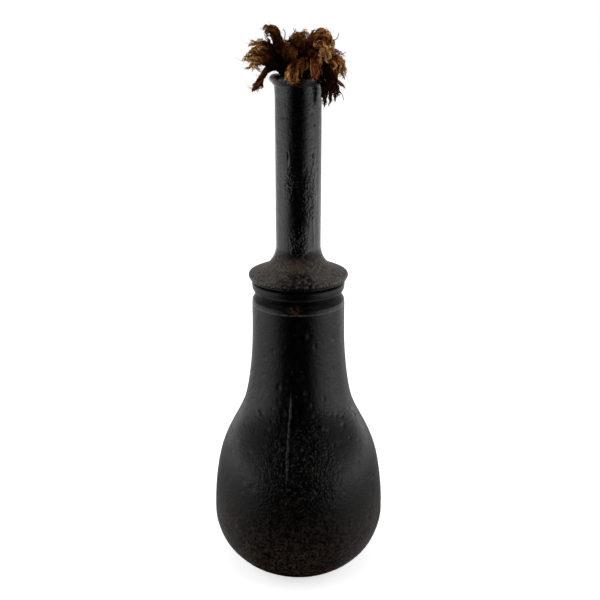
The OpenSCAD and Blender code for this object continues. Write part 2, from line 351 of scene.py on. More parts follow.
# Dents, and where the depth is negative bumps, in the font: azimuth, height, size, depth
FONT_DENTS = [
    (-46, 78, 1.6, -0.3),
    (23, 74, 1.4, -0.3),
    (12, 50, 2.2, 0.3),
    (-20, 62, 1.8, 0.25),
    (60, 40, 2.4, 0.2),
    (-100, 55, 2.0, 0.3),
    (140, 70, 2.4, 0.3),
    (-150, 34, 2.0, -0.25),
    (95, 20, 2.2, 0.25),
]
# How many pits the casting has, and how deep the deepest is
PITS = 520
PIT_DEPTH = 0.34
# Turned edges where the paint is worn off, lightened also as a painted highlight along the turned line and
# the groove: height and amount
WORN_AND_HIGHLIT_EDGES = [(LINE_Z, 1.5), (GROOVE_Z + 1.9, 0.35)]
# Where rust shows through the paint: azimuth, height, size, amount
RUST_SPOTS = [
    (-5, 124.4, 4.2, 0.45),
    (-38, 8, 12, 0.7),
    (20, 5, 14, 0.6),
    (-110, 10, 12, 0.6),
    (150, 9, 13, 0.7),
    (70, 6, 9, 0.5),
    (200, 60, 6, 0.5),
    (-60, 64, 3, 0.5),
]


def wall_radius(height):
    """The font's outer radius at a height."""
    outer = np.array(FONT_OUTER)
    return np.interp(height, outer[:, 1], outer[:, 0])


def pits(points, rng, count, place, deepest):
    """How deep the casting's pits are at each point. place gives a pit's azimuth, height and radius."""
    depth = np.zeros(len(points))
    for _ in range(count):
        centre = at_azimuth(*place(rng))
        share = rng.uniform(0.3, 1)
        hollow = blob(points, centre, rng.uniform(0.7, 1.7), rng.uniform(0.8, 1.4))
        depth = np.maximum(depth, share * deepest * hollow)
    return depth


def font_pit(rng):
    """A place for a pit, most often on the front and low down."""
    height = rng.choice([rng.uniform(1, 26), rng.uniform(26, 88), rng.uniform(4, 116)])
    azimuth = rng.choice([rng.gauss(0, 20), rng.uniform(-180, 180), rng.uniform(-180, 180)])
    return azimuth, height, wall_radius(height)


def font_skin(points, radius, z):
    """The cast skin: unevenness, pits, seams and dents. Only the outer wall has it."""
    count = len(FONT_BOTTOM + FONT_OUTER) * len(FONT_AZIMUTHS)
    outside = points[:count]
    radius, z = radius[:count], z[:count]
    cast = 1 - 0.8 * ramp(z, LINE_Z - 3, LINE_Z)
    rough = blob(outside, at_azimuth(1, 56, 33), 24, 1.6) + 0.7 * (1 - ramp(z, 8, 26))
    pit = pits(outside, random.Random(SEED), PITS, font_pit, PIT_DEPTH)
    shift = 0.06 * waves(outside, 17) + 0.03 * waves(outside, 4.6, shift=9.0)
    shift += (0.02 + 0.05 * rough) * waves(outside, 1.8, 2, 31.0) + pit
    # Worn paint on the turned edges, and a painted highlight along them
    wear_and_highlight = 0 * z
    for edge, amount in WORN_AND_HIGHLIT_EDGES:
        wear_and_highlight = np.maximum(wear_and_highlight, np.minimum(1, amount * (1 - abs(z - edge) / 0.5)))
    for azimuth, bottom, top in FONT_SEAMS:
        a = math.radians(azimuth)
        across = outside[:, 0] * math.cos(a) + outside[:, 1] * math.sin(a)
        across = across + 0.25 * np.sin(z / 5) + 0.12 * np.sin(z * 1.1)
        front = outside[:, 0] * math.sin(a) - outside[:, 1] * math.cos(a) > 0
        along = ramp(z, bottom, bottom + 10) * (1 - ramp(z, top - 10, top))
        along = along * (0.55 + 0.45 * np.sin(z * 1.3) ** 2)
        seam = front * along * np.exp(-((across / SEAM_W) ** 2))
        shift -= SEAM_H * seam
        # The seam's crest is lighter, partly worn paint and partly a painted highlight
        wear_and_highlight = np.maximum(wear_and_highlight, 0.5 * seam)
        # Beside each seam, on its right, no grit and no painted glints, so that a dark line shows there: a
        # painted shade of the seam
        rough = rough * (1 - front * along * np.exp(-(((across - 1.5) / 0.9) ** 2)))
    for azimuth, height, size, depth in FONT_DENTS:
        shift += depth * blob(outside, at_azimuth(azimuth, height, wall_radius(height)), size)
    skin = (SKIN + PAINT) * ramp(radius, BULB_R - 4, BULB_R - 0.7) - PAINT
    shift = np.maximum(skin + cast * shift, radius - BULB_R + 0.01) * ramp(z, 0, 1)
    rust = np.zeros(count)
    for azimuth, height, size, amount in RUST_SPOTS:
        spot = blob(outside, at_azimuth(azimuth, height, wall_radius(height)), size, 0.7)
        rust = np.maximum(rust, amount * spot)
    rest = np.zeros(len(points) - count)
    marks = {"pit": pit / PIT_DEPTH, "rust": rust, "rough": rough, "wear_and_highlight": wear_and_highlight}
    return np.append(shift, rest), {mark: np.append(values, rest) for mark, values in marks.items()}


def seamed_azimuths():
    """The font's columns, closer together along its seams."""
    columns = even_azimuths(FONT_COLUMNS)
    for azimuth, _, _ in FONT_SEAMS:
        columns = np.append(columns, azimuth % 360 + np.linspace(-2.5, 2.5, SEAM_COLUMNS))
    columns = np.sort(columns)
    return columns[np.append(True, np.diff(columns) > 0.12)]


FONT_AZIMUTHS = seamed_azimuths()


def make_font():
    """The oil font, with the groove of its screw thread cut into the mouth."""
    outline = FONT_BOTTOM + FONT_OUTER + FONT_INNER + [(r, FLOOR_T) for r in (20, 12, 5, 0)]
    font = lathe("torch_font", outline, FONT_AZIMUTHS, False, font_skin)
    groove_depth = THREAD_DEPTH + REACH
    groove = thread_ridge(
        "groove",
        CORE_R + THREAD_GAP - REACH,
        THREAD_R + THREAD_GAP,
        ridge_w(groove_depth) + THREAD_GAP,
        THREAD_CREST + THREAD_GAP,
        THREAD_Z - THREAD_PITCH,
        THREAD_TURNS + 2,
    )
    combine(font, groove, "DIFFERENCE")
    sharpen(font, 40)
    return font


# The burner

BURNER_COLUMNS = 384
# How many pits the tube and the flange have, and how deep the deepest are
TUBE_PITS, TUBE_PIT_DEPTH = 130, 0.13
FLANGE_PITS, FLANGE_PIT_DEPTH = 110, 0.26
# Where the flange has less dust, on its front, so that it is darker with black pits among its grains, and
# where the dome has rusted: azimuth, height and radius
THIN_DUST_SPOT = (-2, FLANGE_Z + 2, FLANGE_R - 1)
DOME_RUST = (0, FLANGE_Z + 9, TUBE_R + 2)
# Marks in the burner's paint and casting, as azimuth, height, size, length for its width, and depth
TUBE_SCARS = [
    (44, 198, 0.62, 1.0, 0.5),
    (-25, 186, 0.5, 4.0, 0.3),
    (38, 186, 0.45, 4.0, 0.3),
    (15, 152, 0.7, 1.4, 0.25),
    (160, 176, 0.8, 4.0, 0.25),
    (-120, 190, 0.7, 3.0, 0.25),
    (100, 160, 0.8, 2.0, 0.3),
]
# Runs of paint down the tube: azimuth, bottom, top, how far they wind to each side in degrees, and length of
# a wind
PAINT_RUNS = [
    (41, 171, 187, 4.5, 5.6),
    (44, 171, 184, -4.0, 5.2),
    (41, 148, 171, 1.0, 9.0),
    (-23, 181, 188, 1.5, 6.0),
    (135, 158, 180, 3.0, 6.5),
    (-150, 165, 195, 2.0, 8.0),
]
# How wide a run is, in degrees, and how far it stands out
RUN_W = 2.0
RUN_H = 0.2
# Rough places on the tube: azimuth, height, size, length for its width
ROUGH_PLACES = [
    (-22, 174, 3.4, 2.6),
    (30, 168, 4.0, 3.0),
    (3, 150, 4.5, 1.6),
    (120, 172, 5.0, 3.0),
    (-120, 160, 6.0, 2.0),
]


def burner_outline():
    """The burner's outline, from the boss's lower end up its outside and down its bore."""
    rim = arc((FLANGE_R - RIM_ROUND, FLANGE_Z + 1.9), RIM_ROUND, -25, 62)
    dome_z = FLANGE_Z + FLANGE_H
    dome = cubic([
        rim[-1],
        (FLANGE_R * 0.77, dome_z + DOME_H * 0.21),
        (TUBE_R + DOME_H * 0.13, dome_z + DOME_H * 0.17),
        (TUBE_R, dome_z + DOME_H),
    ])
    outside = (
        [(CORE_R, BOSS_Z), (CORE_R, FLANGE_Z), (FLANGE_R - 0.8, FLANGE_Z)]
        + rim
        + dome[1:]
        + [(TUBE_R, LIP_Z - 2 * LIP_H), (TUBE_R + 0.25, LIP_Z - LIP_H)]
        + arc((LIP_R - LIP_ROUND, LIP_Z - LIP_ROUND), LIP_ROUND, -35, 90, 8)
        + [(BORE_R + 1.3, LIP_Z)]
    )
    return refine(outside, 0.6) + refine([(BORE_R, LIP_Z - 1), (BORE_R, BOSS_Z)], 4)


def burner_skin(points, radius, z):
    """The cast and painted skin: unevenness, pits, scars and runs of paint."""
    outside = ramp(z, FLANGE_Z + 0.2, FLANGE_Z + 1.2) * ramp(radius, BORE_R + 0.4, BORE_R + 1.2)
    flange = 1 - ramp(z, FLANGE_Z + 6, FLANGE_Z + 13)
    rng = random.Random(SEED + 1)

    def on_tube(rng):
        height = rng.uniform(FLANGE_Z + FLANGE_H + 10, LIP_Z - 1)
        return rng.uniform(-180, 180), height, TUBE_R

    def on_flange(rng):
        radius = rng.uniform(TUBE_R + 3, FLANGE_R)
        return rng.uniform(-180, 180), FLANGE_Z + FLANGE_H + rng.uniform(0, 1.6), radius

    tube_pits = pits(points, rng, TUBE_PITS, on_tube, TUBE_PIT_DEPTH)
    pit = np.maximum(tube_pits, pits(points, rng, FLANGE_PITS, on_flange, FLANGE_PIT_DEPTH))
    shift = 0.04 * waves(points, 12) + 0.022 * waves(points, 3.4, shift=7.0) + pit
    rough = 0.9 * flange
    for azimuth, height, size, tall in ROUGH_PLACES:
        rough = np.maximum(rough, blob(points, at_azimuth(azimuth, height, TUBE_R), size, tall) ** 0.5)
    shift += (0.012 + 0.03 * rough) * waves(points, 1.1, 2, 5.0)
    for azimuth, height, size, tall, depth in TUBE_SCARS:
        shift += depth * blob(points, at_azimuth(azimuth, height, TUBE_R), size, tall)
    around = np.degrees(np.arctan2(points[:, 0], -points[:, 1]))
    # The rim's lower edge and the runs of paint are lightened, partly as worn paint and partly as a painted
    # highlight
    wear_and_highlight = 0.2 * (1 - np.clip(abs(z - FLANGE_Z - 0.5) / 0.5, 0, 1)) * (radius > FLANGE_R - 1)
    for azimuth, bottom, top, wind, length in PAINT_RUNS:
        line = azimuth + wind * np.sin(math.pi * (z - bottom) / length)
        there = ramp(z, bottom, bottom + 1.5) * (1 - ramp(z, top - 1.5, top)) * (radius < TUBE_R + 1)
        run = there * np.exp(-(((around - line) / RUN_W) ** 2))
        shift -= RUN_H * run
        wear_and_highlight = np.maximum(wear_and_highlight, run)
    thin_dust = blob(points, at_azimuth(*THIN_DUST_SPOT), 11)
    rust = blob(points, at_azimuth(*DOME_RUST), 5, 0.8)
    marks = {"rough": outside * rough, "wear_and_highlight": outside * wear_and_highlight, "thin_dust": thin_dust, "rust": rust}
    return outside * (shift - PAINT), marks


def make_burner():
    """The burner, with the ridge of its screw thread joined to the boss."""
    burner = lathe("torch_burner", burner_outline(), even_azimuths(BURNER_COLUMNS), True, burner_skin)
    ridge = thread_ridge(
        "ridge", CORE_R - REACH, THREAD_R, ridge_w(THREAD_DEPTH + REACH), THREAD_CREST, THREAD_Z, THREAD_TURNS
    )
    combine(burner, ridge, "UNION")
    sharpen(burner, 40)
    return burner


# The washer

WASHER_COLUMNS = 240
WASHER_GAP = 0.3


def washer_skin(points, radius, z):
    """The washer's squeezed edge bulges unevenly."""
    outer = ramp(radius, WASHER_R - 1.5, WASHER_R)
    return outer * (0.75 + 0.14 * waves(points, 3.0, 2, 2.0)), {}


def make_washer():
    """The leather washer between the mouth and the flange."""
    low, high, inner = MOUTH_Z, FLANGE_Z, THREAD_R + WASHER_GAP
    middle = (low + high) / 2
    outline = (
        [(inner, low), (WASHER_R - 0.4, low)]
        + [(WASHER_R - 0.1, low + 0.12), (WASHER_R, middle), (WASHER_R - 0.1, high - 0.12)]
        + [(WASHER_R - 0.4, high), (inner, high)]
    )
    washer = lathe("torch_washer", refine(outline, 1.2), even_azimuths(WASHER_COLUMNS), True, washer_skin)
    sharpen(washer, 50)
    return washer


# The wick

# The wick is a bundle of one yarn, six round it and twelve round those
INNER_YARNS, OUTER_YARNS = 6, 12
WICK_GAP = 0.4
BUNDLE_R = BORE_R - WICK_GAP
YARN_GAP = 0.08
HALF_CHORD = math.sin(math.pi / OUTER_YARNS)
YARN_R = round((2 * BUNDLE_R * HALF_CHORD - YARN_GAP) / (2 + 2 * HALF_CHORD), 3)
INNER_RING = 2 * YARN_R + YARN_GAP
OUTER_RING = BUNDLE_R - YARN_R
TAIL_LIFT = 6
TAIL_Z = FLOOR_T + TAIL_LIFT
# How far a yarn goes straight up around the lip, in its radii, and where in the tuft it begins and ends
# its swelling, as in the CAD
SET_OUT = 1.5
SWELL_FROM = 0.2
SWELL_TO = 0.65
# Lengths in which a yarn's plies and a lock's strands go once round
TWIST = 15.0
LOCK_TWIST = 6.5
# How many locks a yarn frays into around its middle one
LOCKS = 7
# Radii of a lock's strands, thin to thick, and of a hair and a stray fibre from root to tip
STRAND_R = (0.11, 0.21)
HAIR_R = (0.05, 0.025)
STRAY_R = (0.24, 0.12)
# How much lower the picked locks lie than the camera has them
PICKS_DOWN = 0.3

# Each yarn, from the middle of the bundle outwards: its radius at the frayed end, the share of the tuft from
# which it frays, how light and how red its end is, and the points that pull its route in the tuft, as in the
# CAD. They are given as x, y and height above the lip.
YARNS = [
    (1.9, 0.4, 0.7, 0.5, [(0.3, 0.1, 5), (1, 0.2, 10.5), (2.2, 0, 15.4)]),
    (1.8, 0.45, 1.0, 0.1, [(4.4, -0.4, 5), (6.4, -1.4, 9), (8, -2.4, 12.2), (10.2, -3.6, 13.6),
        (12.4, -4.4, 12), (12.8, -5, 8.8)]),
    (1.9, 0.4, 0.75, 0.6, [(2.6, 3.2, 5), (4.4, 4, 11), (6, 4.4, 16.4)]),
    (1.9, 0.4, 0.75, 0.5, [(-1.8, 3.2, 5), (-1.4, 3.8, 11), (-0.2, 4, 16.6)]),
    (1.5, 0.6, 0.6, 0.4, [(-4.4, 0.2, 4), (-7, 0.4, 9.5), (-8.2, 0.5, 13.8), (-8.8, 0.5, 16.8),
        (-10.6, 0.4, 18.6), (-13, 0.1, 17.8)]),
    (1.5, 0.85, 0.6, 0.5, [(-3, -3.8, 3.8), (-5.2, -5.8, 6.6), (-5.2, -8.4, 10.6), (-2, -10.6, 10),
        (-1.6, -11.4, 7.8)]),
    (2.0, 0.8, 0.75, 1.0, [(2.4, -3.8, 4.8), (4, -7, 8.6), (6, -10.6, 8.6), (6.4, -13.4, 4),
        (6.4, -13.4, -1)]),
    (2.1, 0.35, 0.85, 0.4, [(7.6, 2.2, 3.6), (11, 3.2, 6.4), (15, 3.6, 7), (17, 3.6, 3.4)]),
    (1.8, 0.45, 0.8, 0.45, [(5.4, 5.8, 5), (6.8, 7.4, 11), (7.8, 8, 14.6), (9.8, 8.6, 16.4), (12.2, 9, 15.2),
        (13.2, 9, 12)]),
    (2.0, 0.4, 0.5, 0.4, [(2, 8, 4.5), (2.6, 11.4, 8.4), (3.4, 15.4, 7.4), (4, 16.6, 3)]),
    (2.0, 0.4, 0.6, 0.4, [(-2, 8, 4.5), (-2.8, 11.4, 8.4), (-3.4, 14.6, 9.6)]),
    (2.0, 0.4, 0.6, 0.3, [(-5.4, 6.8, 3.6), (-8, 10.4, 6.6), (-10.6, 13.4, 5.6), (-11.6, 15, 2)]),
    (2.2, 0.35, 0.95, 0.1, [(-7.4, 2.6, 4), (-11.2, 4.2, 8.4), (-14.8, 5, 12), (-18.6, 5.2, 10.4)]),
    (2.1, 0.3, 1.0, 0.05, [(-8.4, -1.8, 2.8), (-12.6, -2.2, 5.6), (-16.6, -2.6, 6.6), (-20.4, -2.8, 4.6)]),
    (1.25, 0.9, 0.55, 0.35, [(-6.4, -5.6, 2.6), (-9.6, -7, 4.6), (-12.6, -7.8, 2.2), (-14, -8.2, -1),
        (-17.8, -8.6, -5.4)]),
    (2.0, 0.6, 0.9, 0.2, [(-1.8, -8, 3.2), (-2.2, -11.6, 4.6), (-2.8, -14.4, 2), (-2.8, -14.6, -1),
        (-2.8, -14.2, -3.4)]),
    (1.8, 0.4, 0.75, 0.4, [(1.8, -7.6, 3.2), (2.2, -10.6, 5), (1.8, -13.4, 4)]),
    # The droop over the tube is dark partly as painted shade, for it hangs in the tuft's shadow, and partly
    # as its own dark brown
    (1.6, 0.5, 0.2, 0.9, [(6.4, -6.2, 2.6), (10, -9, 4.4), (13, -10, 0), (13.4, -10, -4.2), (16, -10, -7.4)]),
    (2.1, 0.3, 0.75, 0.4, [(8.2, -2, 2.6), (12, -3, 4.6), (16, -3.4, 3.2), (16.6, -3.4, -0.8)]),
]

# Locks that part from their yarn where the photograph shows them, by the yarn's number: how light and how red
# each one is, its size, and the points that pull it. They are given as column and row in the
# photograph, and how far behind the torch's axis in millimetres.
SEEN_LOCKS = {
    1: [
        (0.65, 0.3, 1.1, [(299, 52, 0), (301, 43, 0), (302, 36, 0), (299, 32, 0), (295, 34, 0),
            (293, 38, 0)]),
        (0.5, 0.8, 1.1, [(304, 53, -1), (308, 46, -1), (312, 41, -1), (313, 35, -1), (310, 33, -1)]),
        (0.4, 0.5, 1.1, [(302, 56, -3), (303, 50, -3), (302, 45, -3), (305, 42, -3)]),
    ],
    2: [
        (0.95, 0.1, 1.1, [(316, 50, -3), (320, 41, -4), (326, 37, -4), (331, 41, -4), (333, 48, -4),
            (332, 54, -4)]),
        (1.0, 0.05, 1.1, [(315, 52, -5), (318, 43, -6), (322, 40, -7), (325, 44, -7), (323, 50, -8),
            (325, 57, -8), (328, 63, -8)]),
        (0.95, 0.15, 1.0, [(313, 54, -6), (316, 46, -7), (320, 44, -8), (322, 50, -8), (320, 57, -9),
            (321, 65, -9)]),
        (1.0, 0.1, 0.9, [(318, 48, -7), (324, 44, -8), (329, 49, -8.5), (330, 56, -8.5), (327, 61, -8.5),
            (323, 58, -8.5)]),
        (0.6, 0.7, 1.1, [(314, 56, -6), (318, 51, -6), (322, 50, -6), (327, 53, -6), (330, 60, -6)]),
    ],
    3: [
        (0.75, 0.5, 1.1, [(306, 52, 4), (309, 42, 4), (311, 34, 4), (313, 30, 4), (317, 29, 4)]),
        (0.8, 0.35, 1.1, [(310, 50, 3), (314, 41, 3), (317, 33, 3.5), (321, 29, 3.5), (325, 31, 3.5)]),
    ],
    4: [
        (0.6, 0.3, 1.2, [(292, 52, 3), (292, 43, 3), (295, 35, 3.5), (299, 31, 3.5), (303, 34, 3.5)]),
        (0.75, 0.1, 1.1, [(296, 50, 3), (298, 40, 3), (301, 33, 3), (305, 30, 3), (308, 34, 3)]),
    ],
    5: [
        (0.6, 0.25, 1.0, [(279, 61, 0), (277, 52, 0.5), (274, 42, 0.5), (272, 33, 0.5), (269, 26, 0.5),
            (265, 24, 0.5), (262.5, 29, 0.5)]),
        (0.55, 0.5, 0.9, [(282, 60, 0), (281, 50, 0), (279, 42, 0), (277, 34, 0), (274, 28, 0), (271, 25, 0),
            (268, 27, 0)]),
        (0.5, 0.6, 0.9, [(285, 60, -1), (286, 52, -1), (284, 44, -0.5), (281, 37, -0.5), (278, 31, -0.5)]),
        (0.35, 0.3, 0.9, [(276, 60, 0), (272, 51, 0.5), (270, 44, 0.5), (269, 38, 0.5), (265, 36, 0.5)]),
        (0.55, 0.3, 0.8, [(288, 60, -1), (289, 52, -1), (288, 46, -1), (286, 41, -1), (284, 38, -1)]),
    ],
    6: [
        (0.6, 0.5, 1.2, [(285, 63, -8), (284, 55, -9), (288, 49, -9), (293, 50, -9), (295, 57, -9),
            (296, 62, -9)]),
        (0.45, 0.6, 1.0, [(288, 62, -9), (288, 56, -9.5), (291, 52, -9.5), (293, 56, -9.5), (293, 61, -9.5)]),
    ],
    7: [
        (0.75, 1.0, 1.2, [(311, 57, -11), (312, 51, -12), (316, 51, -12.5), (318.5, 58, -12.5),
            (319, 68, -13), (318, 78, -13)]),
        (0.6, 1.0, 1.1, [(309, 60, -12), (311, 53, -12.5), (314, 56, -13), (315, 66, -13.5),
            (314, 79, -13.5)]),
        (0.7, 1.0, 1.1, [(310, 58, -12), (312, 50, -12.5), (316, 54, -13), (316.5, 64, -13.5),
            (316.5, 80, -13.5)]),
    ],
    8: [
        (0.77, 0.4, 1.2, [(326, 60, 2), (333, 53, 2), (340, 56, 2), (344, 64, 2), (345, 71, 2)]),
        (0.63, 0.6, 1.1, [(328, 64, 4), (336, 62, 4), (343, 70, 4), (344, 80, 4)]),
    ],
    9: [
        (0.8, 0.45, 1.2, [(316, 46, 7), (322, 37, 7), (327, 33, 7), (331, 37, 7), (334, 44, 7),
            (333, 50, 7)]),
    ],
    13: [
        (0.9, 0.15, 1.2, [(274, 58, 2), (267, 50, 4), (259, 43, 4), (252, 42, 4), (247, 46, 4)]),
        (0.85, 0.2, 1.1, [(272, 56, 3), (264, 47, 5), (257, 41, 5), (251, 40, 5)]),
        (0.75, 0.3, 1.1, [(272, 58, 2), (263, 52, 4), (255, 47, 4), (250, 49, 4), (249, 55, 4)]),
    ],
    14: [
        (1.0, 0.0, 1.2, [(274, 62, -2), (264, 57, -2), (254, 57, -2), (246, 59, -2), (241, 60, -2)]),
        (1.0, 0.05, 1.1, [(274, 64, -3), (264, 62, -3), (255, 62, -3), (248, 66, -3), (245, 69, -3)]),
        (0.9, 0.15, 1.1, [(276, 62, -4), (267, 59, -4), (258, 60, -4), (250, 63, -4)]),
        (0.85, 0.2, 1.1, [(272, 60, 0), (264, 55, 0), (256, 53, 0), (250, 56, 0), (245, 56, 0)]),
        (0.6, 0.6, 1.1, [(276, 60, -4), (270, 57, -5), (264, 56, -5), (259, 58, -5)]),
    ],
    15: [
        (0.6, 0.5, 1.05, [(266, 68, -7), (262, 74, -8), (258, 80, -8.5), (254, 86, -8.5), (251, 90, -8.5)]),
        (0.4, 0.7, 1.0, [(267, 70, -7), (263, 76, -8), (260, 82, -8), (256, 88, -8), (252, 92, -8)]),
        (0.35, 0.5, 0.8, [(270, 66, -7), (265, 70, -8), (260, 77, -8.5), (256, 84, -8.5), (251, 91, -8.5)]),
    ],
    16: [
        (0.9, 0.2, 1.2, [(298, 62, -11), (291, 65, -12), (287, 71, -12.5), (287, 79, -13)]),
        (0.75, 0.25, 1.1, [(297, 65, -12.5), (297, 71, -13.5), (295, 80, -14)]),
    ],
    17: [
        (0.8, 0.35, 1.2, [(310, 58, -11), (303, 60, -12), (297, 64, -12), (292, 71, -12.5), (289, 80, -13)]),
        (0.75, 0.3, 1.1, [(307, 60, -11.5), (300, 63, -12.5), (296, 69, -13), (294, 76, -13),
            (293, 84, -13)]),
        (0.55, 0.7, 1.0, [(306, 62, -12.5), (303, 65, -13), (301, 71, -13.5), (302, 77, -13.5)]),
    ],
    # The droop's locks are dark partly as painted shade, for they hang in the tuft's shadow, and partly as
    # their own dark brown
    18: [
        (0.32, 0.9, 1.2, [(321, 75, -7), (326, 84, -7), (326, 95, -7), (324, 107, -7)]),
        (0.36, 0.9, 1.1, [(324, 74, -7.5), (330, 85, -7.5), (331, 97, -7.5), (329, 106, -7.5)]),
        (0.38, 0.8, 1.2, [(326, 74, -8), (332, 84, -8), (336, 93, -8), (334, 101, -8)]),
        (0.5, 0.8, 1.1, [(327, 72, -9), (334, 78, -9), (341, 83, -9), (346, 88, -9)]),
        (0.26, 0.8, 1.1, [(320, 78, -6), (323.5, 88, -6), (323.5, 98, -6), (322.5, 104, -6)]),
    ],
    19: [
        (0.77, 0.35, 1.2, [(324, 62, -3), (331, 57, -3), (338, 59, -3), (342, 66, -3), (341, 74, -3)]),
        (0.77, 0.4, 1.1, [(322, 66, -6), (329, 64, -6), (335, 68, -6), (338, 76, -6), (336, 84, -6)]),
        (0.59, 0.8, 1.1, [(320, 68, -8), (325, 69, -8), (330, 75, -8), (334, 83, -8), (333, 91, -8)]),
        (0.81, 0.3, 0.9, [(323, 60, -6), (330, 60, -7), (336, 63, -7), (335, 69, -7), (331, 68, -7)]),
    ],
}

# Locks that fill the tuft behind those, darker partly as painted shade deep in the tuft and partly as charred
# cotton, with points as x, y and height above the lip
FILLING_LOCKS = {
    4: [
        (0.3, 0.8, 1.2, [(-3, 2, 6), (-4, 2, 9), (-4.2, 2, 12), (-3.6, 2, 14)]),
    ],
    5: [
        (0.25, 0.5, 1.3, [(-7, 0, 5), (-8.2, 0, 8), (-9.2, 0, 11), (-9.6, 0, 13.4)]),
        (0.3, 0.6, 1.2, [(-4, -2, 5), (-5.2, -3, 7), (-7, -3, 8.6), (-9, -3, 9.4)]),
    ],
    12: [
        (0.3, 0.7, 1.3, [(-4, 1, 5), (-4.6, 1, 8), (-5, 1, 11), (-4.8, 1, 13.4)]),
        (0.25, 0.5, 1.2, [(-4.5, 1, 5), (-5, -1, 7.5), (-6, -2, 9.5), (-7, -2, 11)]),
    ],
}

# Loose dark fibres that curl out of the tuft, by the yarn that they belong to
STRAYS = {
    5: [
        [(-7.2, 0.4, 10), (-5.6, 0, 13), (-5.0, 0, 15), (-5.2, 0, 16.6), (-6.0, 0, 17.2)],
        [(-8.6, 0.4, 13), (-11, 0, 14.8), (-12.8, 0, 14.8), (-12.8, 0, 13.2), (-11.8, 0, 12.8)],
        [(-8.2, 0, 10), (-10.5, -0.5, 11), (-12.8, -0.5, 12.4), (-13.2, -0.5, 10.8), (-11.4, -0.5, 10.2)],
    ],
    9: [[(12, 8.4, 13), (14.4, 8, 12.8), (15.8, 8, 13.4), (16.2, 8, 15.6)]],
    8: [[(14, 3, 7), (16, 3, 7.8), (17.4, 3, 7.6), (19, 3, 8.4)]],
    18: [[(13.4, -10, -3.6), (15.4, -10, -5.4), (17, -10, -6.4), (17.8, -10, -9.2)]],
}


def yarn_place(number):
    """A yarn's ring and compass angle in the bore."""
    if number == 1:
        return 0, 0
    if number <= 1 + INNER_YARNS:
        return INNER_RING, (number - 2) * 360 / INNER_YARNS
    return OUTER_RING, (number - 1.5 - INNER_YARNS) * 360 / OUTER_YARNS


def from_photo(column, row, depth):
    """The place of a picked point as x, y and height above the lip, to a tenth of a millimetre."""
    zoom = LENS / FILM_W * PHOTO_W
    right, up = (column - PHOTO_W / 2) / zoom, (PHOTO_W / 2 - row) / zoom
    ahead = math.cos(LOOK_DOWN) + up * math.sin(LOOK_DOWN)
    ray = np.array([right, ahead, up * math.cos(LOOK_DOWN) - math.sin(LOOK_DOWN)])
    place = CAMERA + ray * (depth - CAMERA[1]) / ahead
    return np.round(place - [0, 0, LIP_Z + PICKS_DOWN], 1)


def above_lip(points):
    """Points with their height taken from the lip."""
    return [np.array(p) + [0, 0, LIP_Z] for p in points]


def pulled(points, steps):
    """A cubic B-spline from near the second to the last of the points that pull it."""
    q = np.array(list(points) + [2 * np.array(points[-1]) - np.array(points[-2])], float)
    out = []
    for i in range(1, len(points) - 1):
        for t in np.arange(steps) / steps:
            w = (1 - t) ** 3, 3 * t**3 - 6 * t * t + 4, -3 * t**3 + 3 * t * t + 3 * t + 1, t**3
            out.append(sum(a * b for a, b in zip(w, q[i - 1 : i + 3])) / 6)
    return np.array(out + [q[-2]])


def evenly(points, step):
    """The route with points a step apart."""
    run = np.append(0, np.cumsum(np.linalg.norm(np.diff(points, axis=0), axis=1)))
    at = np.linspace(0, run[-1], max(2, round(run[-1] / step)))
    return np.stack([np.interp(at, run, points[:, k]) for k in range(3)], 1), at


# A direction that no route follows, to start the sides from
ANY_SIDE = (0.31, 0.52, 0.79)


def carry_sides(routes, side=ANY_SIDE):
    """Directions along and across each route, of routes of the same number of points, that don't twist."""
    along = np.gradient(routes, axis=1)
    along /= np.maximum(np.linalg.norm(along, axis=2, keepdims=True), 1e-9)
    across = np.zeros_like(along)
    now = np.broadcast_to(np.array(side, float), along[:, 0].shape)
    for i in range(routes.shape[1]):
        now = now - (now * along[:, i]).sum(1, keepdims=True) * along[:, i]
        now = now / np.maximum(np.linalg.norm(now, axis=1, keepdims=True), 1e-9)
        across[:, i] = now
    return along, across, np.cross(along, across)


class Fibres:
    """Closed tubes in one mesh, with a tone, from 0 dark to 1 light, and a redness at each point."""

    def __init__(self):
        self.points, self.faces, self.tones, self.reds, self.count = [], [], [], [], 0

    def add(self, routes, radii, tones, sides, red=0.3):
        """Routes are (tubes, points, 3), radii and tones (tubes, points)."""
        n = routes.shape[1]
        _, across, up = carry_sides(routes)
        turn = np.linspace(0, 2 * math.pi, sides, endpoint=False)
        ring = np.cos(turn)[:, None] * across[:, :, None] + np.sin(turn)[:, None] * up[:, :, None]
        points = routes[:, :, None] + radii[:, :, None, None] * ring
        self.points.append(points.reshape(-1, 3))
        self.tones.append(np.repeat(tones.reshape(-1), sides))
        self.reds.append(np.full(points.size // 3, red))
        for tube in range(len(routes)):
            first = self.count + tube * n * sides
            self.faces += rings(n, sides, first)
            self.faces.append(tuple(range(first + sides - 1, first - 1, -1)))
            self.faces.append(tuple(range(first + (n - 1) * sides, first + n * sides)))
        self.count += points.size // 3

    def make(self, name):
        marks = {"tone": np.concatenate(self.tones), "red": np.concatenate(self.reds)}
        return new_object(name, np.vstack(self.points), self.faces, marks)


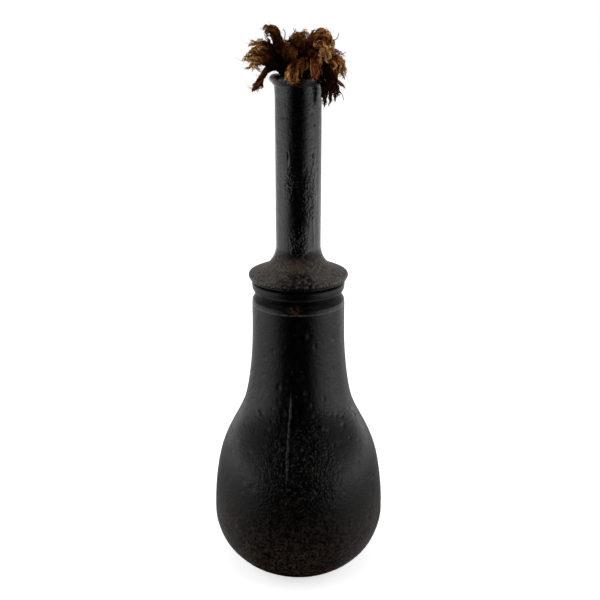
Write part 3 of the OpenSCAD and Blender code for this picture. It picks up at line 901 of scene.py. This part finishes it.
class Yarn:
    """A yarn's line through the tuft, with a direction and two sides at each distance along it."""

    STEP = 0.35
    # How far the line goes on past the yarn's end, for locks that are longer
    BEYOND = 4.0

    def __init__(self, number, end_r, pulls):
        ring, angle = yarn_place(number)
        a = math.radians(angle)
        self.place = ring * np.array([math.cos(a), math.sin(a), 0])
        way_out = self.place + [0, 0, LIP_Z - YARN_R]
        set_out = np.array([0, 0, SET_OUT * YARN_R])
        straight = [way_out - set_out, way_out, way_out + set_out]
        line, at = evenly(pulled(straight + above_lip(pulls), 12), self.STEP)
        self.length = at[-1]
        last = line[-1] - line[-2]
        more = np.arange(1, int(self.BEYOND / self.STEP))
        fall = np.array([0, 0, -0.012])
        line = np.vstack([line, line[-1] + more[:, None] * last + fall * more[:, None] ** 2])
        self.at = np.append(at, at[-1] + self.STEP * more)
        along, across, up = carry_sides(line[None], (math.cos(a), math.sin(a), 0))
        self.table = np.hstack([line, along[0], across[0], up[0]])
        bend = np.cross(*self.look_up(self.length * np.array([0.45, 0.95]))[1])
        self.bend = bend / max(np.linalg.norm(bend), 0.3)
        self.end_r = end_r

    def look_up(self, distance):
        """Place, direction and two sides at distances along the tuft."""
        found = np.stack([np.interp(distance, self.at, column) for column in self.table.T], -1)
        return found[..., 0:3], found[..., 3:6], found[..., 6:9], found[..., 9:12]

    def radius(self, distance):
        """It swells towards its frayed end."""
        return YARN_R + (self.end_r - YARN_R) * ramp(distance / self.length, SWELL_FROM, SWELL_TO)

    def off_line(self, distance, angle, reach):
        """Points at an angle round the yarn's line, reach from it."""
        centre, _, across, up = self.look_up(distance)
        return centre + reach[..., None] * (np.cos(angle)[..., None] * across + np.sin(angle)[..., None] * up)


def wander(rng, tubes, distance, amount):
    """Each tube's own small waves in three directions."""
    out = 0
    for length, share in ((5.0, 0.6), (2.4, 0.4)):
        phase = rng.uniform(0, 2 * math.pi, (tubes, 1, 3))
        pace = 2 * math.pi / (length * rng.uniform(0.7, 1.4, (tubes, 1, 3)))
        out = out + share * np.sin(distance[..., None] * pace + phase)
    return out * amount[..., None]


def add_core(fibres, yarn, light):
    """The twisted middle of the yarn, from its tail in the oil to where it frays."""
    bore = np.linspace(TAIL_Z, LIP_Z - 1.6 * YARN_R, 60)
    straight = np.hstack([np.tile(yarn.place[:2], (60, 1)), bore[:, None]])
    distance = np.arange(0, 0.7 * yarn.length, 0.5)
    line = np.vstack([straight, yarn.look_up(distance)[0]])
    run = np.append(bore - LIP_Z, distance)
    share = np.clip(run / yarn.length, 0, 1)
    thick = YARN_R * (0.5 - 0.34 * ramp(share, 0.2, 0.6))
    _, across, up = carry_sides(line[None], (1, 0, 0))
    for ply in range(3):
        angle = 2 * math.pi * (ply / 3 + run / TWIST)
        around = np.cos(angle)[:, None] * across[0] + np.sin(angle)[:, None] * up[0]
        tone = 0.08 + 0.1 * light * share
        fibres.add((line + thick[:, None] * around)[None], (thick * 0.99)[None], tone[None], 8)


def curl(line, distance, start, turn, axis):
    """The line bent about an axis from a distance on, by turn radians a millimetre."""
    steps = np.diff(line, axis=0)
    angle = (turn * np.maximum(0, distance[1:] - start))[:, None]
    axis = axis / np.linalg.norm(axis)
    along = (steps @ axis)[:, None] * axis
    bent = steps * np.cos(angle) + np.cross(axis, steps) * np.sin(angle) + along * (1 - np.cos(angle))
    return np.vstack([line[:1], line[0] + np.cumsum(bent, axis=0)])


def add_strands(fibres, line, size, frayed, tone, red, rng, strands=16, outward=None):
    """A lock along a line: strands that twist round each other and crinkle where it is frayed.

    Size is the lock's radius, tone how light it is, and outward the direction in which it is lighter: painted
    light on the lock's outer strands and painted shade on its inner ones.
    """
    n = len(line)
    run = np.append(0, np.cumsum(np.linalg.norm(np.diff(line, axis=0), axis=1)))
    _, across, up = carry_sides(line[None])
    own = np.linspace(0, 2 * math.pi, strands, endpoint=False)[:, None] + rng.uniform(-0.3, 0.3, (strands, 1))
    rim = np.sqrt(rng.uniform(0.15, 1.0, (strands, 1)))
    round_it = own + 2 * math.pi * run / LOCK_TWIST
    off = np.cos(round_it)[..., None] * across + np.sin(round_it)[..., None] * up
    last = rng.uniform(0.84, 1.0, (strands, 1))
    u = np.linspace(0, 1, n)[None] * last
    low = np.minimum((u * (n - 1)).astype(int), n - 2)
    part = (u * (n - 1) - low)[..., None]
    routes = line[low] * (1 - part) + line[low + 1] * part + off * (rim * size)[..., None]
    every = np.ones((strands, 1))
    routes = routes + wander(rng, strands, 1.6 * run * every, 0.06 + 0.2 * frayed * every)
    thick = rng.uniform(*STRAND_R, (strands, 1)) * (1 - 0.5 * ramp(u / last, 0.75, 1.0))
    # Painted light and shade: strands on the lock's outward side, and those further out, are lighter
    painted_light = 0 if outward is None else 0.4 * (off * outward).sum(2) * rim
    tone = tone * (0.8 + painted_light + 0.2 * rim) + (0.02 + 0.12 * tone) * rng.normal(0, 1, (strands, 1))
    fibres.add(routes, thick, np.clip(tone + 0.03, 0, 1), 4, red=red * rng.uniform(0.5, 1.3))


def add_lock(fibres, yarn, fray, light, red, turn, rng, n=34):
    """One of the yarn's locks, which come apart. A turn of None makes the lock in its middle."""
    start = yarn.length * rng.uniform(0.0, 0.12)
    distance = np.linspace(start, yarn.length + rng.uniform(-1.6, 0.8), n)[None]
    share = distance / yarn.length
    frayed = ramp(share, fray - 0.1, min(1.1, fray + 0.5))
    loose = 1.15 - fray
    angle = (turn or 0) + 2 * math.pi * distance / TWIST * (1 - 0.45 * frayed)
    spread = rng.uniform(0.2, 1.1) * yarn.end_r * loose
    reach = 0.52 * yarn.radius(distance) + spread * frayed
    if turn is None:
        reach = 0.4 * spread * frayed
    line = yarn.off_line(distance, angle, reach) + wander(rng, 1, distance, 0.06 + 0.38 * frayed)
    outward = line - yarn.look_up(distance)[0]
    outward /= np.maximum(np.linalg.norm(outward, axis=2, keepdims=True), 1e-6)
    bend_from = yarn.length * rng.uniform(0.6, 0.85)
    axis = 1.3 * yarn.bend + rng.normal(0, 0.5, 3)
    line = curl(line[0], distance[0], bend_from, loose * rng.uniform(0.05, 0.6), axis)
    share, frayed = share[0], frayed[0]
    size = 0.56 * (0.85 + 0.75 * ramp(share, fray - 0.1, fray + 0.35)) * (1 - 0.4 * ramp(share, 0.93, 1.08))
    tone = light * rng.uniform(0.5, 1.1) * (0.12 * share + 0.88 * ramp(share, 0.4, 1.0))
    add_strands(fibres, line, size, frayed, tone, red, rng, outward=outward)


def add_branch(fibres, yarn, light, red, size, points, rng):
    """A lock that leaves the yarn's line and goes its own way."""
    leave = list(yarn.look_up(yarn.length * np.array([0.1, 0.25]))[0])
    line, run = evenly(pulled(leave + above_lip(points), 8), 0.5)
    share = run / run[-1]
    line = line + wander(rng, 1, run[None], 0.25 * ramp(share, 0.3, 0.7)[None])[0]
    radius = 0.62 * size * (0.5 + 0.5 * ramp(share, 0.2, 0.6)) * (1 - 0.45 * ramp(share, 0.8, 1.0))
    tone = light * rng.uniform(0.85, 1.05) * (0.1 * share + 0.9 * ramp(share, 0.25, 0.85))
    add_strands(fibres, line, radius, ramp(share, 0.3, 0.8), tone, red, rng, 18)
    add_fuzz(fibres, line[len(line) // 3 :], radius[-1], tone[len(line) // 3 :], red, rng, 16)


def add_fuzz(fibres, line, radius, tone, red, rng, hairs, n=6):
    """Short fine fibres that stand off a line."""
    _, across, up = carry_sides(line[None])
    at = rng.integers(0, len(line) - 1, hairs)
    angle = rng.uniform(0, 2 * math.pi, hairs)[:, None]
    out = np.cos(angle) * across[0][at] + np.sin(angle) * up[0][at]
    along = line[at + 1] - line[at]
    along /= np.linalg.norm(along, axis=1, keepdims=True)
    size = rng.uniform(0.5, 1.6, (hairs, 1, 1))
    lean = (0.5 * out + rng.uniform(0.3, 1.3, (hairs, 1)) * along + rng.normal(0, 0.35, (hairs, 3)))[:, None]
    bow = rng.normal(0, 0.9, (hairs, 1, 3))
    u = np.linspace(0, 1, n)[None, :, None]
    routes = (line[at] + 0.9 * np.reshape(radius, (-1, 1)) * out)[:, None] + size * (lean * u + bow * u * u)
    thick = np.linspace(*HAIR_R, n)[None] * np.ones((hairs, 1))
    tones = (0.1 + 0.9 * tone[at] * rng.uniform(0.6, 1.2, hairs))[:, None] * np.ones((hairs, n))
    fibres.add(routes, thick, np.clip(tones, 0, 1), 3, red=red)


def make_yarn(number, end_r, fray, light, red, pulls):
    """A yarn from its tail in the oil to its frayed end, with its locks, fuzz and stray fibres."""
    rng = np.random.default_rng(SEED + number)
    yarn = Yarn(number, end_r, pulls)
    fibres = Fibres()
    add_core(fibres, yarn, light)
    for turn in [None] + [2 * math.pi * lock / LOCKS for lock in range(LOCKS)]:
        add_lock(fibres, yarn, fray, light, red, turn, rng)
    for *looks, picks in SEEN_LOCKS.get(number, []):
        add_branch(fibres, yarn, *looks, [from_photo(*pick) for pick in picks], rng)
    for branch in FILLING_LOCKS.get(number, []):
        add_branch(fibres, yarn, *branch, rng)
    distance = np.linspace(0.1, 1.0, 40) * yarn.length
    tone = light * ramp(distance / yarn.length, 0.4, 1.0)
    add_fuzz(fibres, yarn.look_up(distance)[0], yarn.radius(distance)[-1], tone, red, rng, 60)
    for stray in STRAYS.get(number, []):
        lifted = above_lip(stray)
        line = pulled([2 * lifted[0] - lifted[1]] + lifted, 6)
        thick = np.linspace(*STRAY_R, len(line))
        fibres.add(line[None], thick[None], np.full((1, len(line)), 0.04), 5)
    return fibres.make(f"yarn_{number:02d}")


# Materials


WHITE = (1, 1, 1, 1)


class Shader:
    """A node-based material and short ways to build it. Places are the object's own, in metres."""

    def __init__(self, name):
        self.material = bpy.data.materials.new(name)
        self.material.use_nodes = True
        self.tree = self.material.node_tree
        self.bsdf = self.tree.nodes["Principled BSDF"]
        self.place = self.add("ShaderNodeTexCoord").outputs["Object"]

    def add(self, kind, inputs=None, **settings):
        node = self.tree.nodes.new(kind)
        for key, value in settings.items():
            setattr(node, key, value)
        for key, value in (inputs or {}).items():
            if isinstance(value, bpy.types.NodeSocket):
                self.tree.links.new(value, node.inputs[key])
            else:
                node.inputs[key].default_value = value
        return node

    def noise(self, size, detail=2.0, rough=0.5, stretch=None):
        """Noise from 0 to 1 whose grains are about size millimetres across."""
        place = self.place
        if stretch:
            place = self.add("ShaderNodeVectorMath", {0: place, 1: stretch}, operation="MULTIPLY").outputs[0]
        inputs = {"Vector": place, "Scale": 1 / (size * MM), "Detail": detail, "Roughness": rough}
        return self.add("ShaderNodeTexNoise", inputs).outputs["Fac"]

    def cells(self, size, output="Distance"):
        """Distance from the middles of cells about size millimetres across."""
        inputs = {"Vector": self.place, "Scale": 1 / (size * MM)}
        return self.add("ShaderNodeTexVoronoi", inputs).outputs[output]

    def grains(self, size):
        """A random value for each cell."""
        return self.cells(size, "Color")

    def mark(self, name):
        """The number that the mesh has at each point for a mark."""
        return self.add("ShaderNodeAttribute", attribute_name=name).outputs["Fac"]

    def by_height(self, low, high, start=0.0, end=1.0):
        """A ramp between two heights in millimetres."""
        height = self.add("ShaderNodeSeparateXYZ", {0: self.place}).outputs["Z"]
        return self.ramp(height, low * MM, high * MM, start, end)

    def ramp(self, value, low, high, start=0.0, end=1.0):
        """Smooth from start, where the value is low, to end, where it is high."""
        inputs = {"Value": value, "From Min": low, "From Max": high, "To Min": start, "To Max": end}
        return self.add("ShaderNodeMapRange", inputs, interpolation_type="SMOOTHSTEP").outputs["Result"]

    def maths(self, operation, first, *others):
        """One value after the other worked in, and kept between 0 and 1 each time."""
        for value in others:
            inputs = {0: first, 1: value}
            first = self.add("ShaderNodeMath", inputs, operation=operation, use_clamp=True).outputs[0]
        return first

    def plus(self, *values):
        return self.maths("ADD", *values)

    def times(self, *values):
        return self.maths("MULTIPLY", *values)

    def blend(self, factor, a, b):
        """The colour a where the factor is 0, and b where it is 1."""
        a, b = [(*color, 1) if isinstance(color, tuple) else color for color in (a, b)]
        return self.add("ShaderNodeMix", {0: factor, 6: a, 7: b}, data_type="RGBA").outputs[2]

    def grit(self, size, least):
        """Grains of about size millimetres that stand in patches, the fewer the higher least is."""
        patches = self.ramp(self.noise(2.0, 3, 0.6), least, 0.6)
        return self.times(self.ramp(self.cells(size), 0.42, 0.12), patches)

    def glow(self, strength):
        """A white shader that shines by itself."""
        return self.add("ShaderNodeEmission", {"Color": WHITE, "Strength": strength})

    def surface(self, shader):
        """Makes a shader the material's surface."""
        self.tree.links.new(shader.outputs[0], self.tree.nodes["Material Output"].inputs["Surface"])

    def colors(self, value, stops):
        """The colour at a value, between stops of position and colour."""
        node = self.add("ShaderNodeValToRGB", {0: value})
        elements = node.color_ramp.elements
        elements[0].position, elements[1].position = stops[0][0], stops[-1][0]
        for position, _ in stops[1:-1]:
            elements.new(position)
        for element, (_, color) in zip(elements, stops):
            element.color = (*color, 1)
        return node.outputs["Color"]

    def bump(self, height, depth, below=None):
        """A bump of depth millimetres, on top of the one below it."""
        inputs = {"Height": height, "Strength": 1.0, "Distance": depth * MM}
        if below:
            inputs["Normal"] = below
        return self.add("ShaderNodeBump", inputs).outputs["Normal"]

    def finish(self, color, roughness, normal=None, **uniform):
        """Sets the surface, and gives the material."""
        for key, value in (("Base Color", color), ("Roughness", roughness), ("Normal", normal)):
            if isinstance(value, bpy.types.NodeSocket):
                self.tree.links.new(value, self.bsdf.inputs[key])
            elif value is not None:
                self.bsdf.inputs[key].default_value = value
        for key, value in uniform.items():
            self.bsdf.inputs[key.replace("_", " ")].default_value = value
        return self.material


BLACK_PAINT = (0.0007, 0.0006, 0.0006)
# Bare iron's colour, used also for painted glints and highlights
BARE_IRON_AND_HIGHLIGHT = (0.05, 0.047, 0.043)
BROWN_RUST = (0.056, 0.034, 0.022)
GREY_DUST = (0.085, 0.07, 0.053)
ORANGE_RUST = (0.13, 0.055, 0.022)
# Heights between which dust comes on the flange, and goes again on the dome
DUST_COMES = (FLANGE_Z + 0.7, FLANGE_Z + 2.7)
DUST_GOES = (FLANGE_Z + 12.7, FLANGE_Z + 6.7)


def font_material():
    """Old black paint on cast iron, brown towards the foot, with bare iron where it is worn, and painted
    glints and highlights in bare iron's colour.
    """
    s = Shader("font_black_iron")
    low = s.by_height(50, 6, 0.0, 0.75)
    patches = s.ramp(s.noise(2.5, 6, 0.8), 0.46, 0.66, 0.0, 0.35)
    specks = s.ramp(s.grains(0.8), 0.3, 0.9)
    brown = s.times(s.plus(low, 0.01), s.plus(patches, specks))
    brown = s.plus(brown, s.times(s.mark("pit"), 0.2))
    color = s.blend(brown, BLACK_PAINT, BROWN_RUST)
    color = s.blend(s.times(s.mark("rust"), specks), color, ORANGE_RUST)
    scuffs = s.ramp(s.noise(1.6, 5, 0.75, (1, 1, 0.4)), 0.66, 0.74, 0, 0.5)
    # Worn paint and painted highlights on the turned edges and seams
    wear_and_highlight = s.times(s.mark("wear_and_highlight"), s.ramp(s.noise(1.5, 4, 0.6), 0.4, 0.58, 0.3, 0.9))
    rough = s.mark("rough")
    peaks = s.noise(1.1, 1, 0.5)
    # Painted glints: light grains in the rough places, in bare iron's colour, stand in for glints of light
    painted_glints = s.times(s.ramp(s.grains(0.75), 0.7, 0.95, 0, 0.5), rough)
    color = s.blend(s.plus(scuffs, wear_and_highlight, painted_glints), color, BARE_IRON_AND_HIGHLIGHT)
    roughness = s.ramp(s.noise(3.0, 4, 0.6), 0.3, 0.7, 0.24, 0.34)
    normal = s.bump(s.times(peaks, s.plus(rough, 0.15)), 0.6)
    normal = s.bump(s.times(s.grit(1.1, 0.46), rough), 0.4, normal)
    normal = s.bump(s.ramp(s.cells(2.4), 0.0, 0.32), 0.04, normal)
    return s.finish(color, roughness, normal, Specular_IOR_Level=0.28)


def burner_material():
    """Old black paint on cast iron, with dust and rust on the flange, and a bare thread."""
    s = Shader("burner_black_paint")
    flange = s.times(s.by_height(*DUST_COMES), s.by_height(*DUST_GOES))
    grain = s.noise(1.05, 1, 0.5)
    patches = s.ramp(s.noise(9, 4, 0.6), 0.4, 0.62)
    grains = s.grains(1.0)
    dust = s.times(flange, s.ramp(grains, 0.2, 0.9, 0.27, 0.76))
    # Less dust on the flange's front, darker there, with black pits among the grains
    dust_thinned = s.times(s.ramp(s.mark("thin_dust"), 0.0, 0.5), s.ramp(grains, 0.55, 0.85, 1.0, 0.0))
    dust = s.times(dust, s.maths("SUBTRACT", 1.0, dust_thinned))
    color = s.blend(dust, BLACK_PAINT, GREY_DUST)
    color = s.blend(s.times(flange, patches, s.ramp(grain, 0.45, 0.6, 0.0, 0.35)), color, BROWN_RUST)
    color = s.blend(s.times(s.mark("rust"), s.ramp(grain, 0.4, 0.6, 0.05, 0.35)), color, ORANGE_RUST)
    # Light specks, partly bare iron and partly painted glints, and worn paint with a painted highlight on the
    # rim's edge and the runs
    specks = s.times(s.ramp(s.noise(0.9, 3, 0.6), 0.62, 0.7), s.ramp(s.noise(7, 3), 0.5, 0.62, 0, 0.3))
    color = s.blend(s.plus(specks, s.times(s.mark("wear_and_highlight"), 0.8)), color, BARE_IRON_AND_HIGHLIGHT)
    thread = s.by_height(FLANGE_Z + 0.1, FLANGE_Z - 0.1)
    color = s.blend(thread, color, BARE_IRON_AND_HIGHLIGHT)
    roughness = s.plus(s.ramp(s.noise(2.4, 4, 0.6), 0.3, 0.7, 0.2, 0.32), s.times(flange, 0.14))
    rough = s.plus(s.times(s.mark("rough"), 0.9), 0.1)
    normal = s.bump(s.noise(1.3, 3, 0.55), 0.09)
    normal = s.bump(s.times(grain, rough), 0.7, normal)
    normal = s.bump(s.times(s.grit(1.2, 0.44), rough), 0.4, normal)
    return s.finish(color, roughness, normal, Specular_IOR_Level=0.5)


OILED_LEATHER = ((0.001, 0.0009, 0.0008), (0.005, 0.004, 0.003))


def leather_material():
    """Leather soaked with oil."""
    s = Shader("washer_black_leather")
    color = s.blend(s.noise(2.0, 4, 0.6), *OILED_LEATHER)
    normal = s.bump(s.cells(0.5), 0.04)
    return s.finish(color, s.ramp(s.noise(1.5), 0.3, 0.7, 0.6, 0.8), normal, Specular_IOR_Level=0.3)


# The wick's colours by its tone, where it is golden and where it is red
GOLDEN = [
    (0.0, (0.0028, 0.0012, 0.0009)),
    (0.25, (0.016, 0.0042, 0.0016)),
    (0.5, (0.105, 0.032, 0.0075)),
    (0.75, (0.36, 0.148, 0.034)),
    (1.0, (0.74, 0.46, 0.19)),
]
REDDISH = [
    (0.0, (0.0028, 0.0011, 0.0011)),
    (0.35, (0.032, 0.0055, 0.0032)),
    (0.65, (0.16, 0.031, 0.009)),
    (1.0, (0.46, 0.17, 0.06)),
]


def cotton_material():
    """Cotton in the tones and reds that the yarns' meshes carry."""
    s = Shader("wick_cotton")
    tone = s.plus(s.mark("tone"), s.ramp(s.noise(3.0, 3, 0.6), 0.3, 0.7, -0.1, 0.1))
    red = s.times(s.mark("red"), s.ramp(s.noise(4.0, 2), 0.35, 0.6, 0.5, 1.2))
    color = s.blend(red, s.colors(tone, GOLDEN), s.colors(tone, REDDISH))
    normal = s.bump(s.noise(0.3, 2, 0.6), 0.04)
    return s.finish(color, s.ramp(s.noise(0.8), 0.3, 0.7, 0.65, 0.85), normal, Specular_IOR_Level=0.04)


# The studio


def seen(tree):
    """1 for rays that show a background: from the camera, a gloss or a clear body."""
    path = tree.nodes.new("ShaderNodeLightPath")
    total = path.outputs["Is Camera Ray"]
    for ray in ("Is Glossy Ray", "Is Transmission Ray"):
        add = tree.nodes.new("ShaderNodeMath")
        add.operation, add.use_clamp = "ADD", True
        tree.links.new(total, add.inputs[0])
        tree.links.new(path.outputs[ray], add.inputs[1])
        total = add.outputs[0]
    return total


# The colour and strength of the light from all round
SKY = (0.97, 0.98, 1.0, 1)
SKY_STRENGTH = 0.4


def make_world():
    """Even light all round, and plain white for the camera and for reflections."""
    world = bpy.data.worlds.new("studio")
    bpy.context.scene.world = world
    world.use_nodes = True
    tree = world.node_tree
    plain = tree.nodes["Background"]
    plain.inputs["Color"].default_value = SKY
    plain.inputs["Strength"].default_value = SKY_STRENGTH
    white = tree.nodes.new("ShaderNodeBackground")
    white.inputs["Color"].default_value = WHITE
    mix = tree.nodes.new("ShaderNodeMixShader")
    tree.links.new(seen(tree), mix.inputs[0])
    tree.links.new(plain.outputs[0], mix.inputs[1])
    tree.links.new(white.outputs[0], mix.inputs[2])
    tree.links.new(mix.outputs[0], tree.nodes["World Output"].inputs["Surface"])


FLOOR_W = 6
# Just under the foot
FLOOR_Z = -0.0002
FLOOR_TONES = ((0.8, 0.8, 0.8), (0.84, 0.84, 0.84))


def make_floor():
    """A pale floor with a glow of its own, stronger further off, so that it fades into the white."""
    bpy.ops.mesh.primitive_plane_add(size=FLOOR_W, location=(0, 0, FLOOR_Z), rotation=(0, 0, math.pi))
    floor = bpy.context.object
    floor.name = "floor"
    s = Shader("pale_floor")
    tone = s.blend(s.noise(360, 3), *FLOOR_TONES)
    s.finish(tone, 0.9, Specular_IOR_Level=0.0)
    away = s.add("ShaderNodeVectorMath", {0: s.place}, operation="LENGTH").outputs["Value"]
    glow = s.glow(s.ramp(away, 0.12, 1.2, 0.64, 0.74))
    both = s.add("ShaderNodeAddShader", {0: s.bsdf.outputs[0], 1: glow.outputs[0]})
    s.surface(s.add("ShaderNodeMixShader", {0: seen(s.tree), 1: s.bsdf.outputs[0], 2: both.outputs[0]}))
    floor.data.materials.append(s.material)


# The tent's tone by azimuth from its front, on the left and the right alike
TENT_TONES = [(0, 0.003), (26, 0.003), (34, 0.05), (42, 0.2), (50, 0.4), (60, 0.62), (75, 0.74), (92, 0.74)]
TENT_TONES += [(106, 0.6), (119, 0.45), (126, 0.48), (142, 0.5), (160, 0.3), (180, 0.14)]
# Its section: radius, height, the share of the tone there, and the least tone behind the object. The small
# shares on the floor near the axis paint the object's shadow there, as reflections see it
TENT_ROWS = [
    (0.024, 0.0005, 0.19, 0.0),
    (0.06, 0.0005, 0.41, 0.0),
    (0.12, 0.0005, 0.5, 0.0),
    (0.3, 0.0005, 1.2, 0.0),
    (0.6, 0.0005, 2.8, 0.0),
    (1.1, 0.02, 2.2, 0.06),
    (1.5, 0.3, 0.7, 0.38),
    (1.7, 0.9, 0.42, 0.44),
    (1.6, 1.5, 0.32, 0.44),
    (1.1, 2.1, 0.3, 0.3),
    (0.5, 2.4, 0.2, 0.13),
    (0.01, 2.5, 0.1, 0.1),
]
# The azimuth of its front, and how many degrees wide its panels are
TENT_FRONT = -4
TENT_PANEL = 4
# How much more of its tone the floor far from the object has on the right, and less on the left
RIGHT_MORE = 0.18


def make_tent():
    """A glowing sheet round the object that only reflections see, where a light tent's cloth would be.

    Its open front gives black metal its dark middle, a painted reflection, and its floor, dimmer near the
    axis, a painted shadow of the object as reflections see it.
    """
    azimuths = np.arange(-180, 180, TENT_PANEL)
    tones = np.interp(abs(azimuths), *np.array(TENT_TONES).T)
    turns = np.radians(azimuths + TENT_FRONT)
    points = [
        np.array([radius * math.sin(a), -radius * math.cos(a), height]) / MM
        for radius, height, _, _ in TENT_ROWS
        for a in turns
    ]
    behind = ramp(abs(azimuths), 85, 125)
    tone = []
    for radius, height, share, least in TENT_ROWS:
        more = RIGHT_MORE * (height < 0.01) * ramp(radius, 0.25, 0.6)
        tone.append(np.maximum(share * tones * (1 + more * np.sin(turns)), least * behind))
    tent = new_object("tent", points, rings(len(TENT_ROWS), len(turns)), {"tone": np.concatenate(tone)})
    s = Shader("tent_painted_reflection")
    s.surface(s.glow(s.mark("tone")))
    tent.data.materials.append(s.material)
    for kind in ("camera", "diffuse", "shadow", "transmission", "volume_scatter"):
        setattr(tent, "visible_" + kind, False)


# The soft lamps: name, place, the height on the axis that each one faces, size and power
LAMPS = [
    ("lamp_left", (-0.95, 0.05, 0.35), 0.12, 1.1, 8),
    ("lamp_right", (0.95, 0.05, 0.35), 0.12, 1.1, 8),
    ("lamp_top", (0, 0.1, 1.2), 0.1, 0.9, 3),
]


def make_lamp(name, place, aim, size, power):
    """A soft lamp. Reflections see the tent in its place."""
    data = bpy.data.lights.new(name, "AREA")
    data.shape, data.size, data.energy = "SQUARE", size, power
    lamp = bpy.data.objects.new(name, data)
    bpy.context.scene.collection.objects.link(lamp)
    lamp.location = place
    lamp.rotation_euler = (Vector((0, 0, aim)) - Vector(place)).to_track_quat("-Z", "Y").to_euler()
    lamp.visible_camera = lamp.visible_glossy = False


def make_camera():
    """The camera that fits the photograph."""
    data = bpy.data.cameras.new("camera")
    data.sensor_width, data.lens = FILM_W, LENS
    camera = bpy.data.objects.new("camera", data)
    bpy.context.scene.collection.objects.link(camera)
    camera.location = CAMERA * MM
    camera.rotation_euler = (math.radians(90) - LOOK_DOWN, 0, 0)
    bpy.context.scene.camera = camera


def dress(obj, material, body, node):
    """Gives a piece its material and its body, and hides the CAD node that it stands for."""
    obj.data.materials.clear()
    obj.data.materials.append(material)
    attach(obj, body)
    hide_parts(node)


make_camera()
make_world()
make_floor()
make_tent()
for lamp in LAMPS:
    make_lamp(*lamp)

dress(make_font(), font_material(), "font", "font")
dress(make_burner(), burner_material(), "burner", "burner")
dress(make_washer(), leather_material(), "washer", "washer")
cotton = cotton_material()
for number, row in enumerate(YARNS, 1):
    dress(make_yarn(number, *row), cotton, "wick", f"wick_yarn_{number}")

scene = bpy.context.scene
scene.view_settings.view_transform = "Standard"
